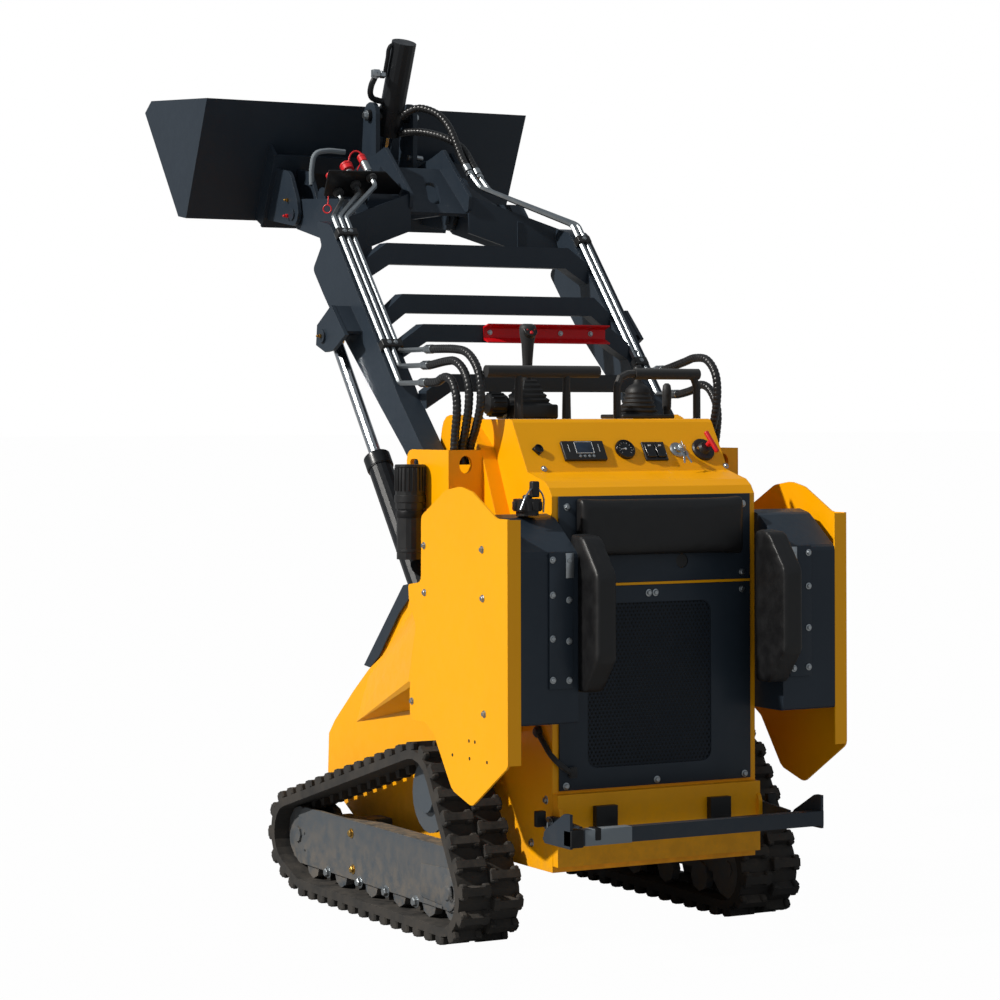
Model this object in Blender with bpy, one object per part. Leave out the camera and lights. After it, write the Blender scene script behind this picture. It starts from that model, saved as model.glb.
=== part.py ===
"""Compact stand-on track loader: chassis on two rubber tracks, raised lift arms and a curled bucket.

Frame: +X forward to the bucket, +Y the machine's left, +Z up, ground at z = 0. Metres.
Side outlines are (x, z) points with x measured from the rear flange of the side wings.
"""

import math

import bmesh
import bpy
from mathutils import Matrix, Vector

GAP = 0.0003          # left between two touching pieces
BITE = 0.002          # how far fused pieces sink into each other
SHEET = 0.006         # body sheet metal
PLATE = 0.012         # structural plate
FLAT = math.radians(0.1)  # faces this close to one plane become one face after a cut

# Overall places
REAR_X = -0.100       # rear faces of the thigh pads
LIP_X = 2.385
CENTRE_X = (REAR_X + LIP_X) / 2
BODY_HALF = 0.317
PANEL_HALF = BODY_HALF - 0.017
PANEL_X = 0.131
WALL = 0.010          # chassis walls
RECESS = 0.001        # how far welded plates stand back from the chassis sides
BELLY_Z = 0.205
BODY_TOP_Z = 0.95
CONSOLE_TOP_Z = 1.393
CONSOLE_FRONT_X = 0.72
NOSE_X = 1.520
FENDER_OUTER_Y = 0.420
TANK_OUTER_Y = 0.486
WING_OUTER_Y = TANK_OUTER_Y + 0.039
GRILLE_PITCH = 0.0635
# Side outline of the hood, a lid on the slope behind the nose
HOOD_OUTLINE = [(0.970, 0.879), (0.976, 0.919), (1.008, 0.914), (1.268, 0.664), (1.227, 0.660), (1.167, 0.698)]
HOOD_OUTLINE += [(1.035, 0.832), (0.996, 0.860)]

# Tracks: wheels that the belt runs round, as centre x, centre z and belt outer radius
TRACK_WIDTH = 0.182
TRACK_Y = BODY_HALF + 0.034 + TRACK_WIDTH / 2
LUG_HEIGHT = 0.022
BELT_THICK = 0.024
REAR_IDLER = (0.362, 0.130, 0.130)
SPROCKET = (0.530, 0.372, 0.150)
FRONT_IDLER = (1.353, 0.166, 0.130)
FRONT_ROLLER = (1.262, 0.092, 0.092)
LUG_COUNT = 42
LUG_LENGTH = 0.030
DRIVE_LUG_COUNT = 42
DRIVE_LUG_HEIGHT = 0.022
DRIVE_LUG_HALF = 0.018
BEND_STEP = math.radians(20)
ROLLER_XS = (0.517, 0.698, 0.873, 1.072)
ROLLER_RADIUS = 0.044
WHEEL_WIDTH = 0.024
FRAME_OUTER_Y = TRACK_Y + 0.050

# Lift arms: two beams that pivot between the cheek and the outer plate of each tower
ARM_PIVOT = (0.530, 1.100)
ARM_PIN_RADIUS = 0.022
ARM_INNER_Y = BODY_HALF + 0.055
ARM_OUTER_Y = ARM_INNER_Y + 0.066
ARM_BACK_LOW = (0.791, 1.455)
ARM_BACK_HIGH = (1.240, 1.965)
CHEEK_OUTER_Y = ARM_INNER_Y - 0.012
TOWER_OUTER_Y = ARM_OUTER_Y + 0.026
HITCH_PIVOT = (1.780, 2.035)
HITCH_PIN_RADIUS = 0.019
LEG_INNER_Y = 0.250
LEG_OUTER_Y = 0.298
NOSE_PLATE_Y = 0.100
HEAD_FOOT = (1.395, 2.020)
HEAD_ANGLE = math.radians(40)
CROSS_DROP = 0.048

# Pipes on the beams, couplers at their upper ends and hoses at their feet
PIPE_RADIUS = 0.008
PIPE_YS = (0.386, 0.406, 0.426)
PIPE_FEET = (0.165, 0.105, 0.040)
HOSE_RADIUS = 0.010
COUPLER_FOOT = (1.453, 2.0697)
COUPLER_ANGLE = math.radians(133.8)
COUPLERS = ((0.229, 0.0808), (0.272, 0.0502), (0.319, 0.0185))
RIGHT_PORTS = (((1.430, 2.158), -0.125), ((1.418, 2.146), -0.152))
RIGHT_PIPE_FEET = (0.095, 0.0)
HOSE_ROUTES = (
    ((0.707, 1.560), (0.640, 1.578), (0.556, 1.585), (0.486, 1.573), (0.434, 1.537), (0.411, 1.490), (0.412, 1.430), (0.438, 1.370), (0.470, 1.318)),
    ((0.688, 1.505), (0.621, 1.529), (0.561, 1.552), (0.508, 1.550), (0.460, 1.524), (0.433, 1.480), (0.434, 1.425), (0.452, 1.365), (0.470, 1.318)),
    ((0.663, 1.455), (0.614, 1.472), (0.566, 1.496), (0.522, 1.508), (0.482, 1.495), (0.458, 1.455), (0.455, 1.410), (0.464, 1.360), (0.470, 1.318)),
)
RIGHT_HOSE_ROUTES = (
    ((0.740, 1.530), (0.657, 1.546), (0.592, 1.556), (0.539, 1.566), (0.475, 1.560), (0.430, 1.520), (0.420, 1.460), (0.438, 1.385), (0.470, 1.318)),
    ((0.690, 1.440), (0.640, 1.455), (0.590, 1.475), (0.545, 1.490), (0.500, 1.478), (0.466, 1.440), (0.456, 1.400), (0.462, 1.355), (0.470, 1.318)),
)

# Lift cylinders
LIFT_CYLINDER_Y = ARM_OUTER_Y + 0.024
LIFT_LOW_PIN = (0.417, 0.700)
LIFT_HIGH_PIN = (1.160, 1.635)
LIFT_BARREL_RADIUS = 0.035
LIFT_ROD_RADIUS = 0.0175
LIFT_BARREL_END = 0.751
LIFT_EYE_HALF = 0.0375
LIFT_PIN_RADIUS = 0.016

# Tilt cylinder, hung by a trunnion near its gland
TRUNNION = (1.7215, 2.350)
TILT_ROD_PIN = (1.835, 2.085)
TILT_BARREL_RADIUS = 0.039
TILT_ROD_RADIUS = 0.019
TILT_BARREL_ABOVE = 0.244
TILT_BARREL_BELOW = 0.060
TILT_RETRACT = 0.040
TRUNNION_PIN_RADIUS = 0.018
COLLAR_RADIUS = 0.042
EAR_INNER_Y = 0.058
EAR_OUTER_Y = 0.073

# Bucket, as its side outline in the stored pose
BUCKET_HALF = 0.568
BUCKET_BACK_TOP = (1.862, 2.394)
BUCKET_BACK_LOW = (2.035, 2.030)
BUCKET_HEEL = (2.100, 2.040)
BUCKET_LIP = (LIP_X, 2.396)
BUCKET_LIP_TOP = (2.330, 2.430)
BUCKET_SHEET = 0.008
MOUNT_DEPTH = 0.046      # how far the mount frame stands out from the bucket's back

# Platform, hinged low behind the rear panel
PLATFORM_PIVOT = (0.130, 0.335)
PLATFORM_REAR_X = -0.082
PLATFORM_HALF = 0.390
PLATFORM_PIN_RADIUS = 0.010

MATERIALS = {
    # name: (red, green, blue, roughness, metallic)
    "yellow": (0.90, 0.42, 0.01, 0.40, 0.0),
    "slate": (0.045, 0.060, 0.080, 0.45, 0.2),
    "black": (0.012, 0.012, 0.014, 0.55, 0.0),
    "rubber": (0.020, 0.020, 0.020, 0.85, 0.0),
    "grey": (0.16, 0.17, 0.18, 0.50, 0.3),
    "steel": (0.65, 0.66, 0.68, 0.25, 1.0),
    "red": (0.65, 0.03, 0.02, 0.40, 0.0),
}


def clear_scene():
    for obj in list(bpy.data.objects):
        bpy.data.objects.remove(obj, do_unlink=True)


def material(name):
    found = bpy.data.materials.get(name)
    if found:
        return found
    red, green, blue, roughness, metallic = MATERIALS[name]
    made = bpy.data.materials.new(name)
    made.use_nodes = True
    shader = made.node_tree.nodes["Principled BSDF"]
    shader.inputs["Base Color"].default_value = (red, green, blue, 1)
    shader.inputs["Roughness"].default_value = roughness
    shader.inputs["Metallic"].default_value = metallic
    return made


def collection(name):
    made = bpy.data.collections.new(name)
    bpy.context.scene.collection.children.link(made)
    return made


# Shapes

def mesh_object(name, build):
    """A loose helper object whose mesh is filled by build(bm)."""
    bm = bmesh.new()
    build(bm)
    bmesh.ops.recalc_face_normals(bm, faces=bm.faces)
    mesh = bpy.data.meshes.new(name)
    bm.to_mesh(mesh)
    bm.free()
    obj = bpy.data.objects.new(name, mesh)
    WORK.objects.link(obj)
    return obj


def box(low, high):
    """An axis-aligned box between two corners."""
    low, high = Vector(low), Vector(high)
    size = high - low

    def build(bm):
        bmesh.ops.create_cube(bm, size=1)
        bmesh.ops.scale(bm, vec=size, verts=bm.verts)
        bmesh.ops.translate(bm, vec=(low + high) / 2, verts=bm.verts)

    return mesh_object("box", build)


def rod(start, end, radius, sides=16, end_radius=None):
    """A cylinder or cone from start to end."""
    start, end = Vector(start), Vector(end)
    turn = (end - start).to_track_quat("Z", "Y").to_matrix().to_4x4()

    def build(bm):
        bmesh.ops.create_cone(
            bm,
            cap_ends=True,
            segments=sides,
            radius1=radius,
            radius2=radius if end_radius is None else end_radius,
            depth=(end - start).length,
            matrix=Matrix.Translation((start + end) / 2) @ turn,
        )

    return mesh_object("rod", build)


def pin(point, low_y, high_y, radius, sides=16):
    """A cylinder along Y at an (x, z) point."""
    return rod((point[0], low_y, point[1]), (point[0], high_y, point[1]), radius, sides)


def rounded(corners, step=math.radians(30)):
    """Points of a closed outline from (x, z, radius) corners, with an arc at each rounded one."""
    points = []
    count = len(corners)
    for index, (x, z, radius) in enumerate(corners):
        here = Vector((x, z))
        if not radius:
            points.append((x, z))
            continue
        before = Vector(corners[index - 1][:2]) - here
        after = Vector(corners[(index + 1) % count][:2]) - here
        before.normalize()
        after.normalize()
        half = before.angle(after) / 2
        centre = here + (before + after).normalized() * radius / math.sin(half)
        first = here + before * radius / math.tan(half) - centre
        last = here + after * radius / math.tan(half) - centre
        sweep = first.angle_signed(last)
        pieces = max(1, round(abs(sweep) / step))
        for number in range(pieces + 1):
            turned = first.copy()
            turned.rotate(Matrix.Rotation(-sweep * number / pieces, 2))
            points.append(tuple(centre + turned))
    return points


def circle(centre, radius, sides=16):
    return [
        (
            centre[0] + radius * math.cos(2 * math.pi * number / sides),
            centre[1] + radius * math.sin(2 * math.pi * number / sides),
        )
        for number in range(sides)
    ]


def running(radius, sides=12):
    """The radius of a hole with this many sides in which a pin of the given radius turns freely."""
    return radius / math.cos(math.pi / sides) + GAP


def oval(centre, half_width, half_height, sides=14):
    return [(centre[0] + x * half_width, centre[1] + z * half_height) for x, z in circle((0, 0), 1, sides)]


def long_hole(start, end, radius, sides=6):
    """The outline of a slot with round ends."""
    start, end = Vector(start), Vector(end)
    heading = math.atan2(end.y - start.y, end.x - start.x)
    points = []
    for middle, first in ((start, heading + math.pi / 2), (end, heading - math.pi / 2)):
        for number in range(sides + 1):
            angle = first + math.pi * number / sides
            points.append((middle.x + radius * math.cos(angle), middle.y + radius * math.sin(angle)))
    return points


def both_sides(low_y, high_y):
    """The y limits of a plate and of its mirror image."""
    return (low_y, high_y), (-high_y, -low_y)


def shrunk(outline, distance):
    """The outline with each side moved in by a distance."""
    points = [Vector(point) for point in outline]
    area = sum(a.x * b.y - b.x * a.y for a, b in zip(points, points[1:] + points[:1]))
    inward = math.copysign(distance, area)
    moved = []
    for before, here, after in zip(points[-1:] + points[:-1], points, points[1:] + points[:1]):
        first, second = (here - before).normalized(), (after - here).normalized()
        normal = Vector((-first.y - second.y, first.x + second.x))
        moved.append(tuple(here + normal * inward / (1 + first.dot(second))))
    return moved


def hull(points):
    """The closed convex body round the given corners."""

    def build(bm):
        for point in points:
            bm.verts.new(point)
        made = bmesh.ops.convex_hull(bm, input=bm.verts)
        spare = {item for item in made["geom_interior"] + made["geom_unused"] if isinstance(item, bmesh.types.BMVert)}
        bmesh.ops.delete(bm, geom=list(spare), context="VERTS")

    return mesh_object("hull", build)


def slab(outlines, thickness, place):
    """A flat plate of the first outline, pierced by the others, centred on its plane and set by a matrix."""
    curve = bpy.data.curves.new("slab", "CURVE")
    curve.dimensions = "2D"
    curve.fill_mode = "BOTH"
    curve.extrude = thickness / 2
    for outline in outlines:
        spline = curve.splines.new("POLY")
        spline.points.add(len(outline) - 1)
        for point, (across, up) in zip(spline.points, outline):
            point.co = (across, up, 0, 1)
        spline.use_cyclic_u = True
    source = bpy.data.objects.new("slab", curve)
    WORK.objects.link(source)
    source.matrix_world = place
    return curve_to_mesh(source)


def curve_to_mesh(source):
    """The curve object as a closed mesh object, and the curve removed."""
    bpy.context.view_layer.update()
    graph = bpy.context.evaluated_depsgraph_get()
    mesh = bpy.data.meshes.new_from_object(source.evaluated_get(graph))
    mesh.transform(source.matrix_world)
    bm = bmesh.new()
    bm.from_mesh(mesh)
    bmesh.ops.remove_doubles(bm, verts=bm.verts, dist=1e-6)
    bmesh.ops.recalc_face_normals(bm, faces=bm.faces)
    bm.to_mesh(mesh)
    bm.free()
    obj = bpy.data.objects.new(source.name, mesh)
    WORK.objects.link(obj)
    bpy.data.objects.remove(source, do_unlink=True)
    return obj


def side_plate(outline, low_y, high_y, holes=()):
    """A plate in the XZ plane between two y values."""
    place = Matrix.Translation((0, (low_y + high_y) / 2, 0)) @ Matrix.Rotation(math.pi / 2, 4, "X")
    return slab([outline, *holes], high_y - low_y, place)


def cross_plate(outline, x, thickness, holes=()):
    """A plate in the YZ plane whose middle is at x. Its outline is (y, z) points."""
    facing = Matrix(((0, 0, 1, x), (1, 0, 0, 0), (0, 1, 0, 0), (0, 0, 0, 1)))
    return slab([outline, *holes], thickness, facing)


def leaning_plate(foot, angle, outline, thickness, holes=()):
    """A plate across the machine that rises from foot (x, z) at an angle. Its outline is (y, along)."""
    along = Vector((math.cos(angle), 0, math.sin(angle)))
    across = Vector((0, 1, 0))
    normal = across.cross(along)
    place = Matrix((across, along, normal)).transposed().to_4x4()
    place.translation = (foot[0], 0, foot[1])
    return slab([outline, *holes], thickness, place)


def pipe(points, radius, sides=2, bend=0.0):
    """A round tube along straight runs, with bends of the given radius."""
    curve = bpy.data.curves.new("pipe", "CURVE")
    curve.dimensions = "3D"
    curve.bevel_depth = radius
    curve.bevel_resolution = sides
    curve.use_fill_caps = True
    route = bent(points, bend) if bend else [Vector(point) for point in points]
    spline = curve.splines.new("POLY")
    spline.points.add(len(route) - 1)
    for point, place in zip(spline.points, route):
        point.co = (*place, 1)
    source = bpy.data.objects.new("pipe", curve)
    WORK.objects.link(source)
    return curve_to_mesh(source)


def bent(points, radius, pieces=2):
    """The route with each inner corner replaced by a short arc."""
    points = [Vector(point) for point in points]
    route = [points[0]]
    for before, here, after in zip(points, points[1:], points[2:]):
        back = (before - here).normalized()
        on = (after - here).normalized()
        half = back.angle(on) / 2
        if half > math.radians(87):
            route.append(here)
            continue
        reach = radius / math.tan(half)
        first, last = here + back * reach, here + on * reach
        middle = here + (back + on).normalized() * radius / math.sin(half)
        for number in range(pieces + 1):
            share = number / pieces
            chord = first.lerp(last, share) - middle
            route.append(middle + chord.normalized() * radius)
    route.append(points[-1])
    return route


# Joining, cutting and naming

def combine(target, others, operation):
    for other in others:
        modifier = target.modifiers.new(operation, "BOOLEAN")
        modifier.operation = operation
        modifier.object = other
        modifier.solver = "EXACT"
    bpy.context.view_layer.update()
    graph = bpy.context.evaluated_depsgraph_get()
    mesh = bpy.data.meshes.new_from_object(target.evaluated_get(graph))
    target.modifiers.clear()
    target.data = mesh
    for other in others:
        bpy.data.objects.remove(other, do_unlink=True)
    return target


def fuse(*pieces):
    return combine(pieces[0], pieces[1:], "UNION")


def cut(target, *cutters):
    return combine(target, cutters, "DIFFERENCE")


def mirrored(obj):
    """The same piece on the other side of the machine."""
    copy = bpy.data.objects.new(obj.name, obj.data.copy())
    WORK.objects.link(copy)
    copy.data.transform(Matrix.Diagonal((1, -1, 1, 1)))
    copy.data.flip_normals()
    return copy


def merge_flat(obj):
    """Joins the faces that a cut left side by side in one plane."""
    bm = bmesh.new()
    bm.from_mesh(obj.data)
    bmesh.ops.dissolve_limit(bm, angle_limit=FLAT, verts=bm.verts, edges=bm.edges)
    bmesh.ops.triangulate(bm, faces=[face for face in bm.faces if len(face.verts) > 4])
    bm.to_mesh(obj.data)
    bm.free()
    return obj


def name_part(obj, name, colour, body):
    """Moves a finished piece to the model under its moving body's empty."""
    merge_flat(obj)
    obj.name = name
    obj.data.name = name
    obj.data.materials.clear()
    obj.data.materials.append(material(colour))
    WORK.objects.unlink(obj)
    MODEL.objects.link(obj)
    obj.data.transform(Matrix.Translation(-body["rest"]))
    obj.parent = body["empty"]
    obj.data.shade_smooth()
    obj.data.set_sharp_from_angle(angle=math.radians(35))
    return obj


def pair(obj, name, colour, body_left, body_right=None):
    """The left piece and its mirror image, each named for its side."""
    other = mirrored(obj)
    name_part(obj, name + "_left", colour, body_left)
    name_part(other, name + "_right", colour, body_right or body_left)


def body(name, point=(0, 0), y=0.0):
    """An empty on a joint's axis, which carries the pieces that move together."""
    empty = bpy.data.objects.new(name, None)
    MODEL.objects.link(empty)
    empty.location = (point[0] - CENTRE_X, y, point[1])
    return {"empty": empty, "rest": Vector((point[0], y, point[1]))}


# Tracks

def belt_path(inset):
    """The belt's closed outline as (x, z) points, set in from its outside, counterclockwise from the rear."""
    wheels = [REAR_IDLER, FRONT_ROLLER, FRONT_IDLER, SPROCKET]
    points = []
    count = len(wheels)
    angles = []
    for index, (x, z, radius) in enumerate(wheels):
        next_x, next_z, next_radius = wheels[(index + 1) % count]
        reach = math.hypot(next_x - x, next_z - z)
        heading = math.atan2(next_z - z, next_x - x)
        angles.append(heading - math.acos((radius - next_radius) / reach))
    for index, (x, z, radius) in enumerate(wheels):
        start = angles[index - 1]
        end = angles[index]
        while end < start:
            end += 2 * math.pi
        pieces = max(2, math.ceil((end - start) / BEND_STEP))
        for number in range(pieces + 1):
            angle = start + (end - start) * number / pieces
            points.append((x + (radius - inset) * math.cos(angle), z + (radius - inset) * math.sin(angle)))
    return points


def along_loop(points, distance):
    """The point, and the heading in the XZ plane, at a distance along a closed outline."""
    count = len(points)
    for index in range(count):
        a, b = Vector(points[index]), Vector(points[(index + 1) % count])
        length = (b - a).length
        if distance <= length:
            heading = math.atan2(b.y - a.y, b.x - a.x)
            return a.lerp(b, distance / length), heading
        distance -= length
    return Vector(points[0]), 0.0


def loop_length(points):
    return sum((Vector(a) - Vector(b)).length for a, b in zip(points, points[1:] + points[:1]))


def lug(place, heading, low_y, high_y, length, depth, outward):
    """One block on the belt, its foot sunk in and its tip narrower. outward is 1 outside and -1 inside."""
    tip = 0.72

    def build(bm):
        bmesh.ops.create_cube(bm, size=1)
        bmesh.ops.scale(bm, vec=(length, high_y - low_y, depth), verts=bm.verts)
        bmesh.ops.translate(bm, vec=(0, (low_y + high_y) / 2, 0), verts=bm.verts)
        for vert in bm.verts:
            if vert.co.z < 0:
                vert.co.x *= tip
            vert.co.z = vert.co.z - depth / 2 + BITE
            vert.co.z *= outward
        turn = Matrix.Rotation(-heading, 4, "Y")
        bmesh.ops.transform(bm, matrix=Matrix.Translation((place.x, 0, place.y)) @ turn, verts=bm.verts)

    return mesh_object("lug", build)


def make_track(machine):
    low_y, high_y = TRACK_Y - TRACK_WIDTH / 2, TRACK_Y + TRACK_WIDTH / 2
    outer = belt_path(LUG_HEIGHT)
    inner = belt_path(LUG_HEIGHT + BELT_THICK)
    belt = side_plate(outer, low_y, high_y, [inner])
    blocks = []
    length = loop_length(outer)
    for number in range(LUG_COUNT):
        for half, start in ((0, 0.0), (1, 0.5)):
            place, heading = along_loop(outer, length * (number + start) / LUG_COUNT)
            low = low_y if half == 0 else TRACK_Y + 0.004
            high = TRACK_Y - 0.004 if half == 0 else high_y
            blocks.append(lug(place, heading, low, high, LUG_LENGTH, LUG_HEIGHT + BITE, 1))
    length = loop_length(inner)
    for number in range(DRIVE_LUG_COUNT):
        place, heading = along_loop(inner, length * number / DRIVE_LUG_COUNT)
        blocks.append(lug(place, heading, TRACK_Y - DRIVE_LUG_HALF, TRACK_Y + DRIVE_LUG_HALF, 0.026, DRIVE_LUG_HEIGHT + BITE, -1))
    track = cut(fuse(belt, joined(blocks)), box((-1, 0, -0.1), (3, 1, 0)))
    pair(track, "track", "rubber", machine)


def joined(pieces):
    """Pieces that don't touch, as one mesh object, to serve as one cutter or one addition."""
    first = pieces[0]
    bm = bmesh.new()
    for piece in pieces:
        bm.from_mesh(piece.data)
    bm.to_mesh(first.data)
    bm.free()
    for piece in pieces[1:]:
        bpy.data.objects.remove(piece, do_unlink=True)
    return first


def make_undercarriage(machine):
    low_z, high_z = 0.082, 0.250
    outline = rounded(
        [(0.335, low_z, 0.03), (1.360, low_z, 0.03), (1.385, 0.130, 0.03), (1.340, high_z, 0.05), (0.355, high_z, 0.05)]
    )
    frame = side_plate(outline, FRAME_OUTER_Y - PLATE, FRAME_OUTER_Y)
    core = box((0.44, TRACK_Y - 0.057, 0.11), (1.22, FRAME_OUTER_Y - PLATE + BITE, 0.235))
    pieces = [core]
    for x in (0.62, 1.12):
        pieces.append(box((x - 0.04, BODY_HALF + GAP, 0.215), (x + 0.04, TRACK_Y - 0.052, 0.233)))
    belt = LUG_HEIGHT + BELT_THICK + GAP
    for x in (*ROLLER_XS, FRONT_ROLLER[0]):
        for start in (-0.064, 0.020):
            y = TRACK_Y + start
            pieces.append(pin((x, belt + ROLLER_RADIUS), y, y + WHEEL_WIDTH, ROLLER_RADIUS, 8))
    for x, z, radius in (REAR_IDLER, FRONT_IDLER):
        for start in (-0.068, 0.020):
            y = TRACK_Y + start
            pieces.append(pin((x, z), y, y + WHEEL_WIDTH, (radius - belt) * math.cos(BEND_STEP / 2) - GAP, 12))
        pieces.append(pin((x, z), TRACK_Y - 0.072, FRAME_OUTER_Y + 0.006, 0.024, 8))
    pair(fuse(frame, *pieces), "track_frame", "grey", machine)


def make_sprocket(machine):
    x, z, radius = SPROCKET
    seat = radius - LUG_HEIGHT - BELT_THICK - 0.003
    drum = seat - DRIVE_LUG_HEIGHT - 0.004
    wheel = pin((x, z), TRACK_Y - 0.036, TRACK_Y + 0.036, drum, 16)
    rims = [pin((x, z), TRACK_Y + low, TRACK_Y + low + 0.010, seat, 20) for low in (-0.036, 0.026)]
    motor = pin((x, z), BODY_HALF + GAP, TRACK_Y, 0.052, 16)
    cover = pin((x, z), TRACK_Y, TRACK_Y + 0.050, 0.046, 16)
    pair(fuse(wheel, *rims, motor, cover), "sprocket", "grey", machine)


# Chassis and body

def make_chassis(machine):
    rear_x = PANEL_X + SHEET + GAP
    inner_half = BODY_HALF - WALL
    nose = [(1.330, BELLY_Z), (1.514, 0.296), (NOSE_X, 0.326), (1.513, 0.439), (1.470, 0.483), (1.337, 0.584)]
    slope = [(1.234, 0.655), (1.120, 0.713), (0.989, 0.832), (0.955, 0.900), (CONSOLE_FRONT_X, 1.000)]
    outline = [(rear_x, BELLY_Z), *nose, *slope, (CONSOLE_FRONT_X, BODY_TOP_Z), (rear_x, BODY_TOP_Z)]
    tub = side_plate(outline, -BODY_HALF, BODY_HALF)
    seat = shrunk(HOOD_OUTLINE, SHEET + GAP)[:4]
    lid_seat = [*seat, (seat[3][0] - 0.065, seat[3][1] - 0.065), (0.960, 0.790)]
    fuse(tub, side_plate(lid_seat, -inner_half, inner_half))
    rear_bay = box((PANEL_X + 0.05, -inner_half, BELLY_Z + WALL), (CONSOLE_FRONT_X - WALL, inner_half, BODY_TOP_Z + 0.1))
    passage = box((0.60, -inner_half, BELLY_Z + WALL), (0.80, inner_half, 0.5))
    bay = [
        (CONSOLE_FRONT_X + WALL, BELLY_Z + WALL),
        (1.320, BELLY_Z + WALL),
        (NOSE_X - WALL, 0.310),
        (NOSE_X - WALL, 0.430),
        (1.225, 0.640),
        (1.225, 0.750),
        (1.000, 0.960),
        (0.985, 0.960),
        (0.950, 0.885),
        (CONSOLE_FRONT_X + WALL, 0.985),
    ]
    front_bay = side_plate(bay, -inner_half + WALL, inner_half - WALL)
    doorway = box((0.0, -0.29, 0.44), (PANEL_X + 0.1, 0.29, 0.93))
    slots = []
    for number in range(6):
        x = 1.315 + 0.024 * number
        slots.append(box((x, -0.20, 0.44), (x + 0.012, 0.20, 0.75)))
    cut(tub, rear_bay, passage, front_bay, doorway, joined(slots))
    half = BODY_HALF - RECESS
    apron = box((PANEL_X - 0.02, -half, 0.222), (PANEL_X + 0.02, half, 0.41))
    pieces = [apron]
    x, z = PLATFORM_PIVOT
    flange = rounded(
        [
            (x - 0.030, z - 0.030, 0.02),
            (x + 0.03, z - 0.110, 0.0),
            (0.359, 0.243, 0.02),
            (0.283, 0.303, 0.03),
            (0.277, 0.394, 0.02),
            (0.319, 0.431, 0.0),
            (x + 0.03, 0.431, 0.0),
            (x - 0.030, z + 0.030, 0.02),
        ]
    )
    for low, high in both_sides(BODY_HALF - PLATE, BODY_HALF - RECESS):
        pieces.append(side_plate(flange, low, high))
    for low, high in both_sides(BODY_HALF - BITE, BODY_HALF + 0.014):
        pieces.append(pin(PLATFORM_PIVOT, low, high, PLATFORM_PIN_RADIUS, 12))
    front = CONSOLE_FRONT_X + GAP
    root = [(1.330, 0.488), (1.250, 0.625), (0.958, 0.845), (front, 0.985), (front, 0.600)]
    edge = [(front, 0.660), (front, 0.830), (0.772, 0.660)]
    for side in (1, -1):
        corners = [(x, side * (BODY_HALF - BITE), z) for x, z in root]
        corners += [(x, side * FENDER_OUTER_Y, z) for x, z in edge]
        pieces.append(hull(corners))
    name_part(fuse(tub, *pieces), "chassis", "yellow", machine)


def make_engine(machine):
    block = box((0.80, -0.23, BELLY_Z + WALL + GAP), (1.22, 0.23, 0.62))
    name_part(block, "engine", "grey", machine)


def make_hood(machine):
    lid = side_plate(HOOD_OUTLINE, -BODY_HALF, BODY_HALF)
    under = shrunk(HOOD_OUTLINE, SHEET)
    low = Vector((-0.05, -0.05))
    hollow = [*under[:4], tuple(Vector(under[3]) + low), tuple(Vector(under[0]) + low)]
    cut(lid, side_plate(hollow, -BODY_HALF + SHEET, BODY_HALF - SHEET))
    name_part(lid, "hood", "slate", machine)


def make_console(machine):
    ledge = (0.267, 1.251)
    outline = rounded(
        [
            (PANEL_X + SHEET + GAP, BODY_TOP_Z + GAP, 0.0),
            (CONSOLE_FRONT_X, BODY_TOP_Z + GAP, 0.0),
            (CONSOLE_FRONT_X, 1.200, 0.04),
            (0.640, CONSOLE_TOP_Z, 0.05),
            (0.355, CONSOLE_TOP_Z, 0.02),
            (ledge[0], ledge[1], 0.0),
            (PANEL_X + 0.03, 1.225, 0.04),
            (PANEL_X + SHEET + GAP, 1.190, 0.0),
        ]
    )
    console = side_plate(outline, -BODY_HALF, BODY_HALF)
    name_part(console, "console", "yellow", machine)


def make_rear_panel(machine):
    low_z, high_z = 0.418, 1.190
    corners = [(-PANEL_HALF, low_z), (PANEL_HALF, low_z), (PANEL_HALF, high_z), (-PANEL_HALF, high_z)]
    holes = []
    grille_y, grille_low_z = (-0.172, 0.213), 0.473
    radius = GRILLE_PITCH * 0.42
    rows, columns = 8, 6
    for row in range(rows):
        for column in range(columns - row % 2):
            y = grille_y[0] + radius + (column + 0.5 * (row % 2)) * GRILLE_PITCH
            z = grille_low_z + radius + row * GRILLE_PITCH * math.sin(math.pi / 3)
            holes.append([(y + across, z + up) for up, across in circle((0, 0), radius, 6)])
    panel = cross_plate(rounded([(*corner, 0.01) for corner in corners]), PANEL_X + SHEET / 2, SHEET, holes)
    name_part(panel, "rear_panel", "slate", machine)


def make_back_pad(machine):
    front_x = PANEL_X - GAP
    section = [(0.085, 1.025, 0.02), (front_x, 1.025, 0.0), (front_x, 1.188, 0.0), (0.085, 1.188, 0.02)]
    name_part(side_plate(rounded(section), -0.260, 0.260), "back_pad", "rubber", machine)


def make_tanks(machine):
    outline = rounded(
        [
            (0.000, 0.609, 0.01),
            (0.190, 0.609, 0.01),
            (0.190, 1.150, 0.02),
            (0.120, 1.135, 0.03),
            (0.000, 1.047, 0.02),
        ]
    )
    pair(side_plate(outline, BODY_HALF + GAP, TANK_OUTER_Y), "side_tank", "slate", machine)
    x, y = 0.120, 0.400
    neck = rod((x, y, 1.1418), (x, y, 1.156), 0.030, 16)
    cap = rod((x, y, 1.154), (x, y, 1.186), 0.037, 16)
    name_part(fuse(neck, cap), "filler_cap", "black", machine)


def make_knee_pads(machine):
    profile = [
        (0.046, 1.100, 0.01),
        (-0.020, 1.093, 0.02),
        (REAR_X, 0.995, 0.03),
        (REAR_X, 0.778, 0.03),
        (-0.025, 0.686, 0.02),
        (0.046, 0.686, 0.01),
    ]
    pair(side_plate(rounded(profile), BODY_HALF - 0.060, BODY_HALF), "knee_pad", "rubber", machine)


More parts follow.
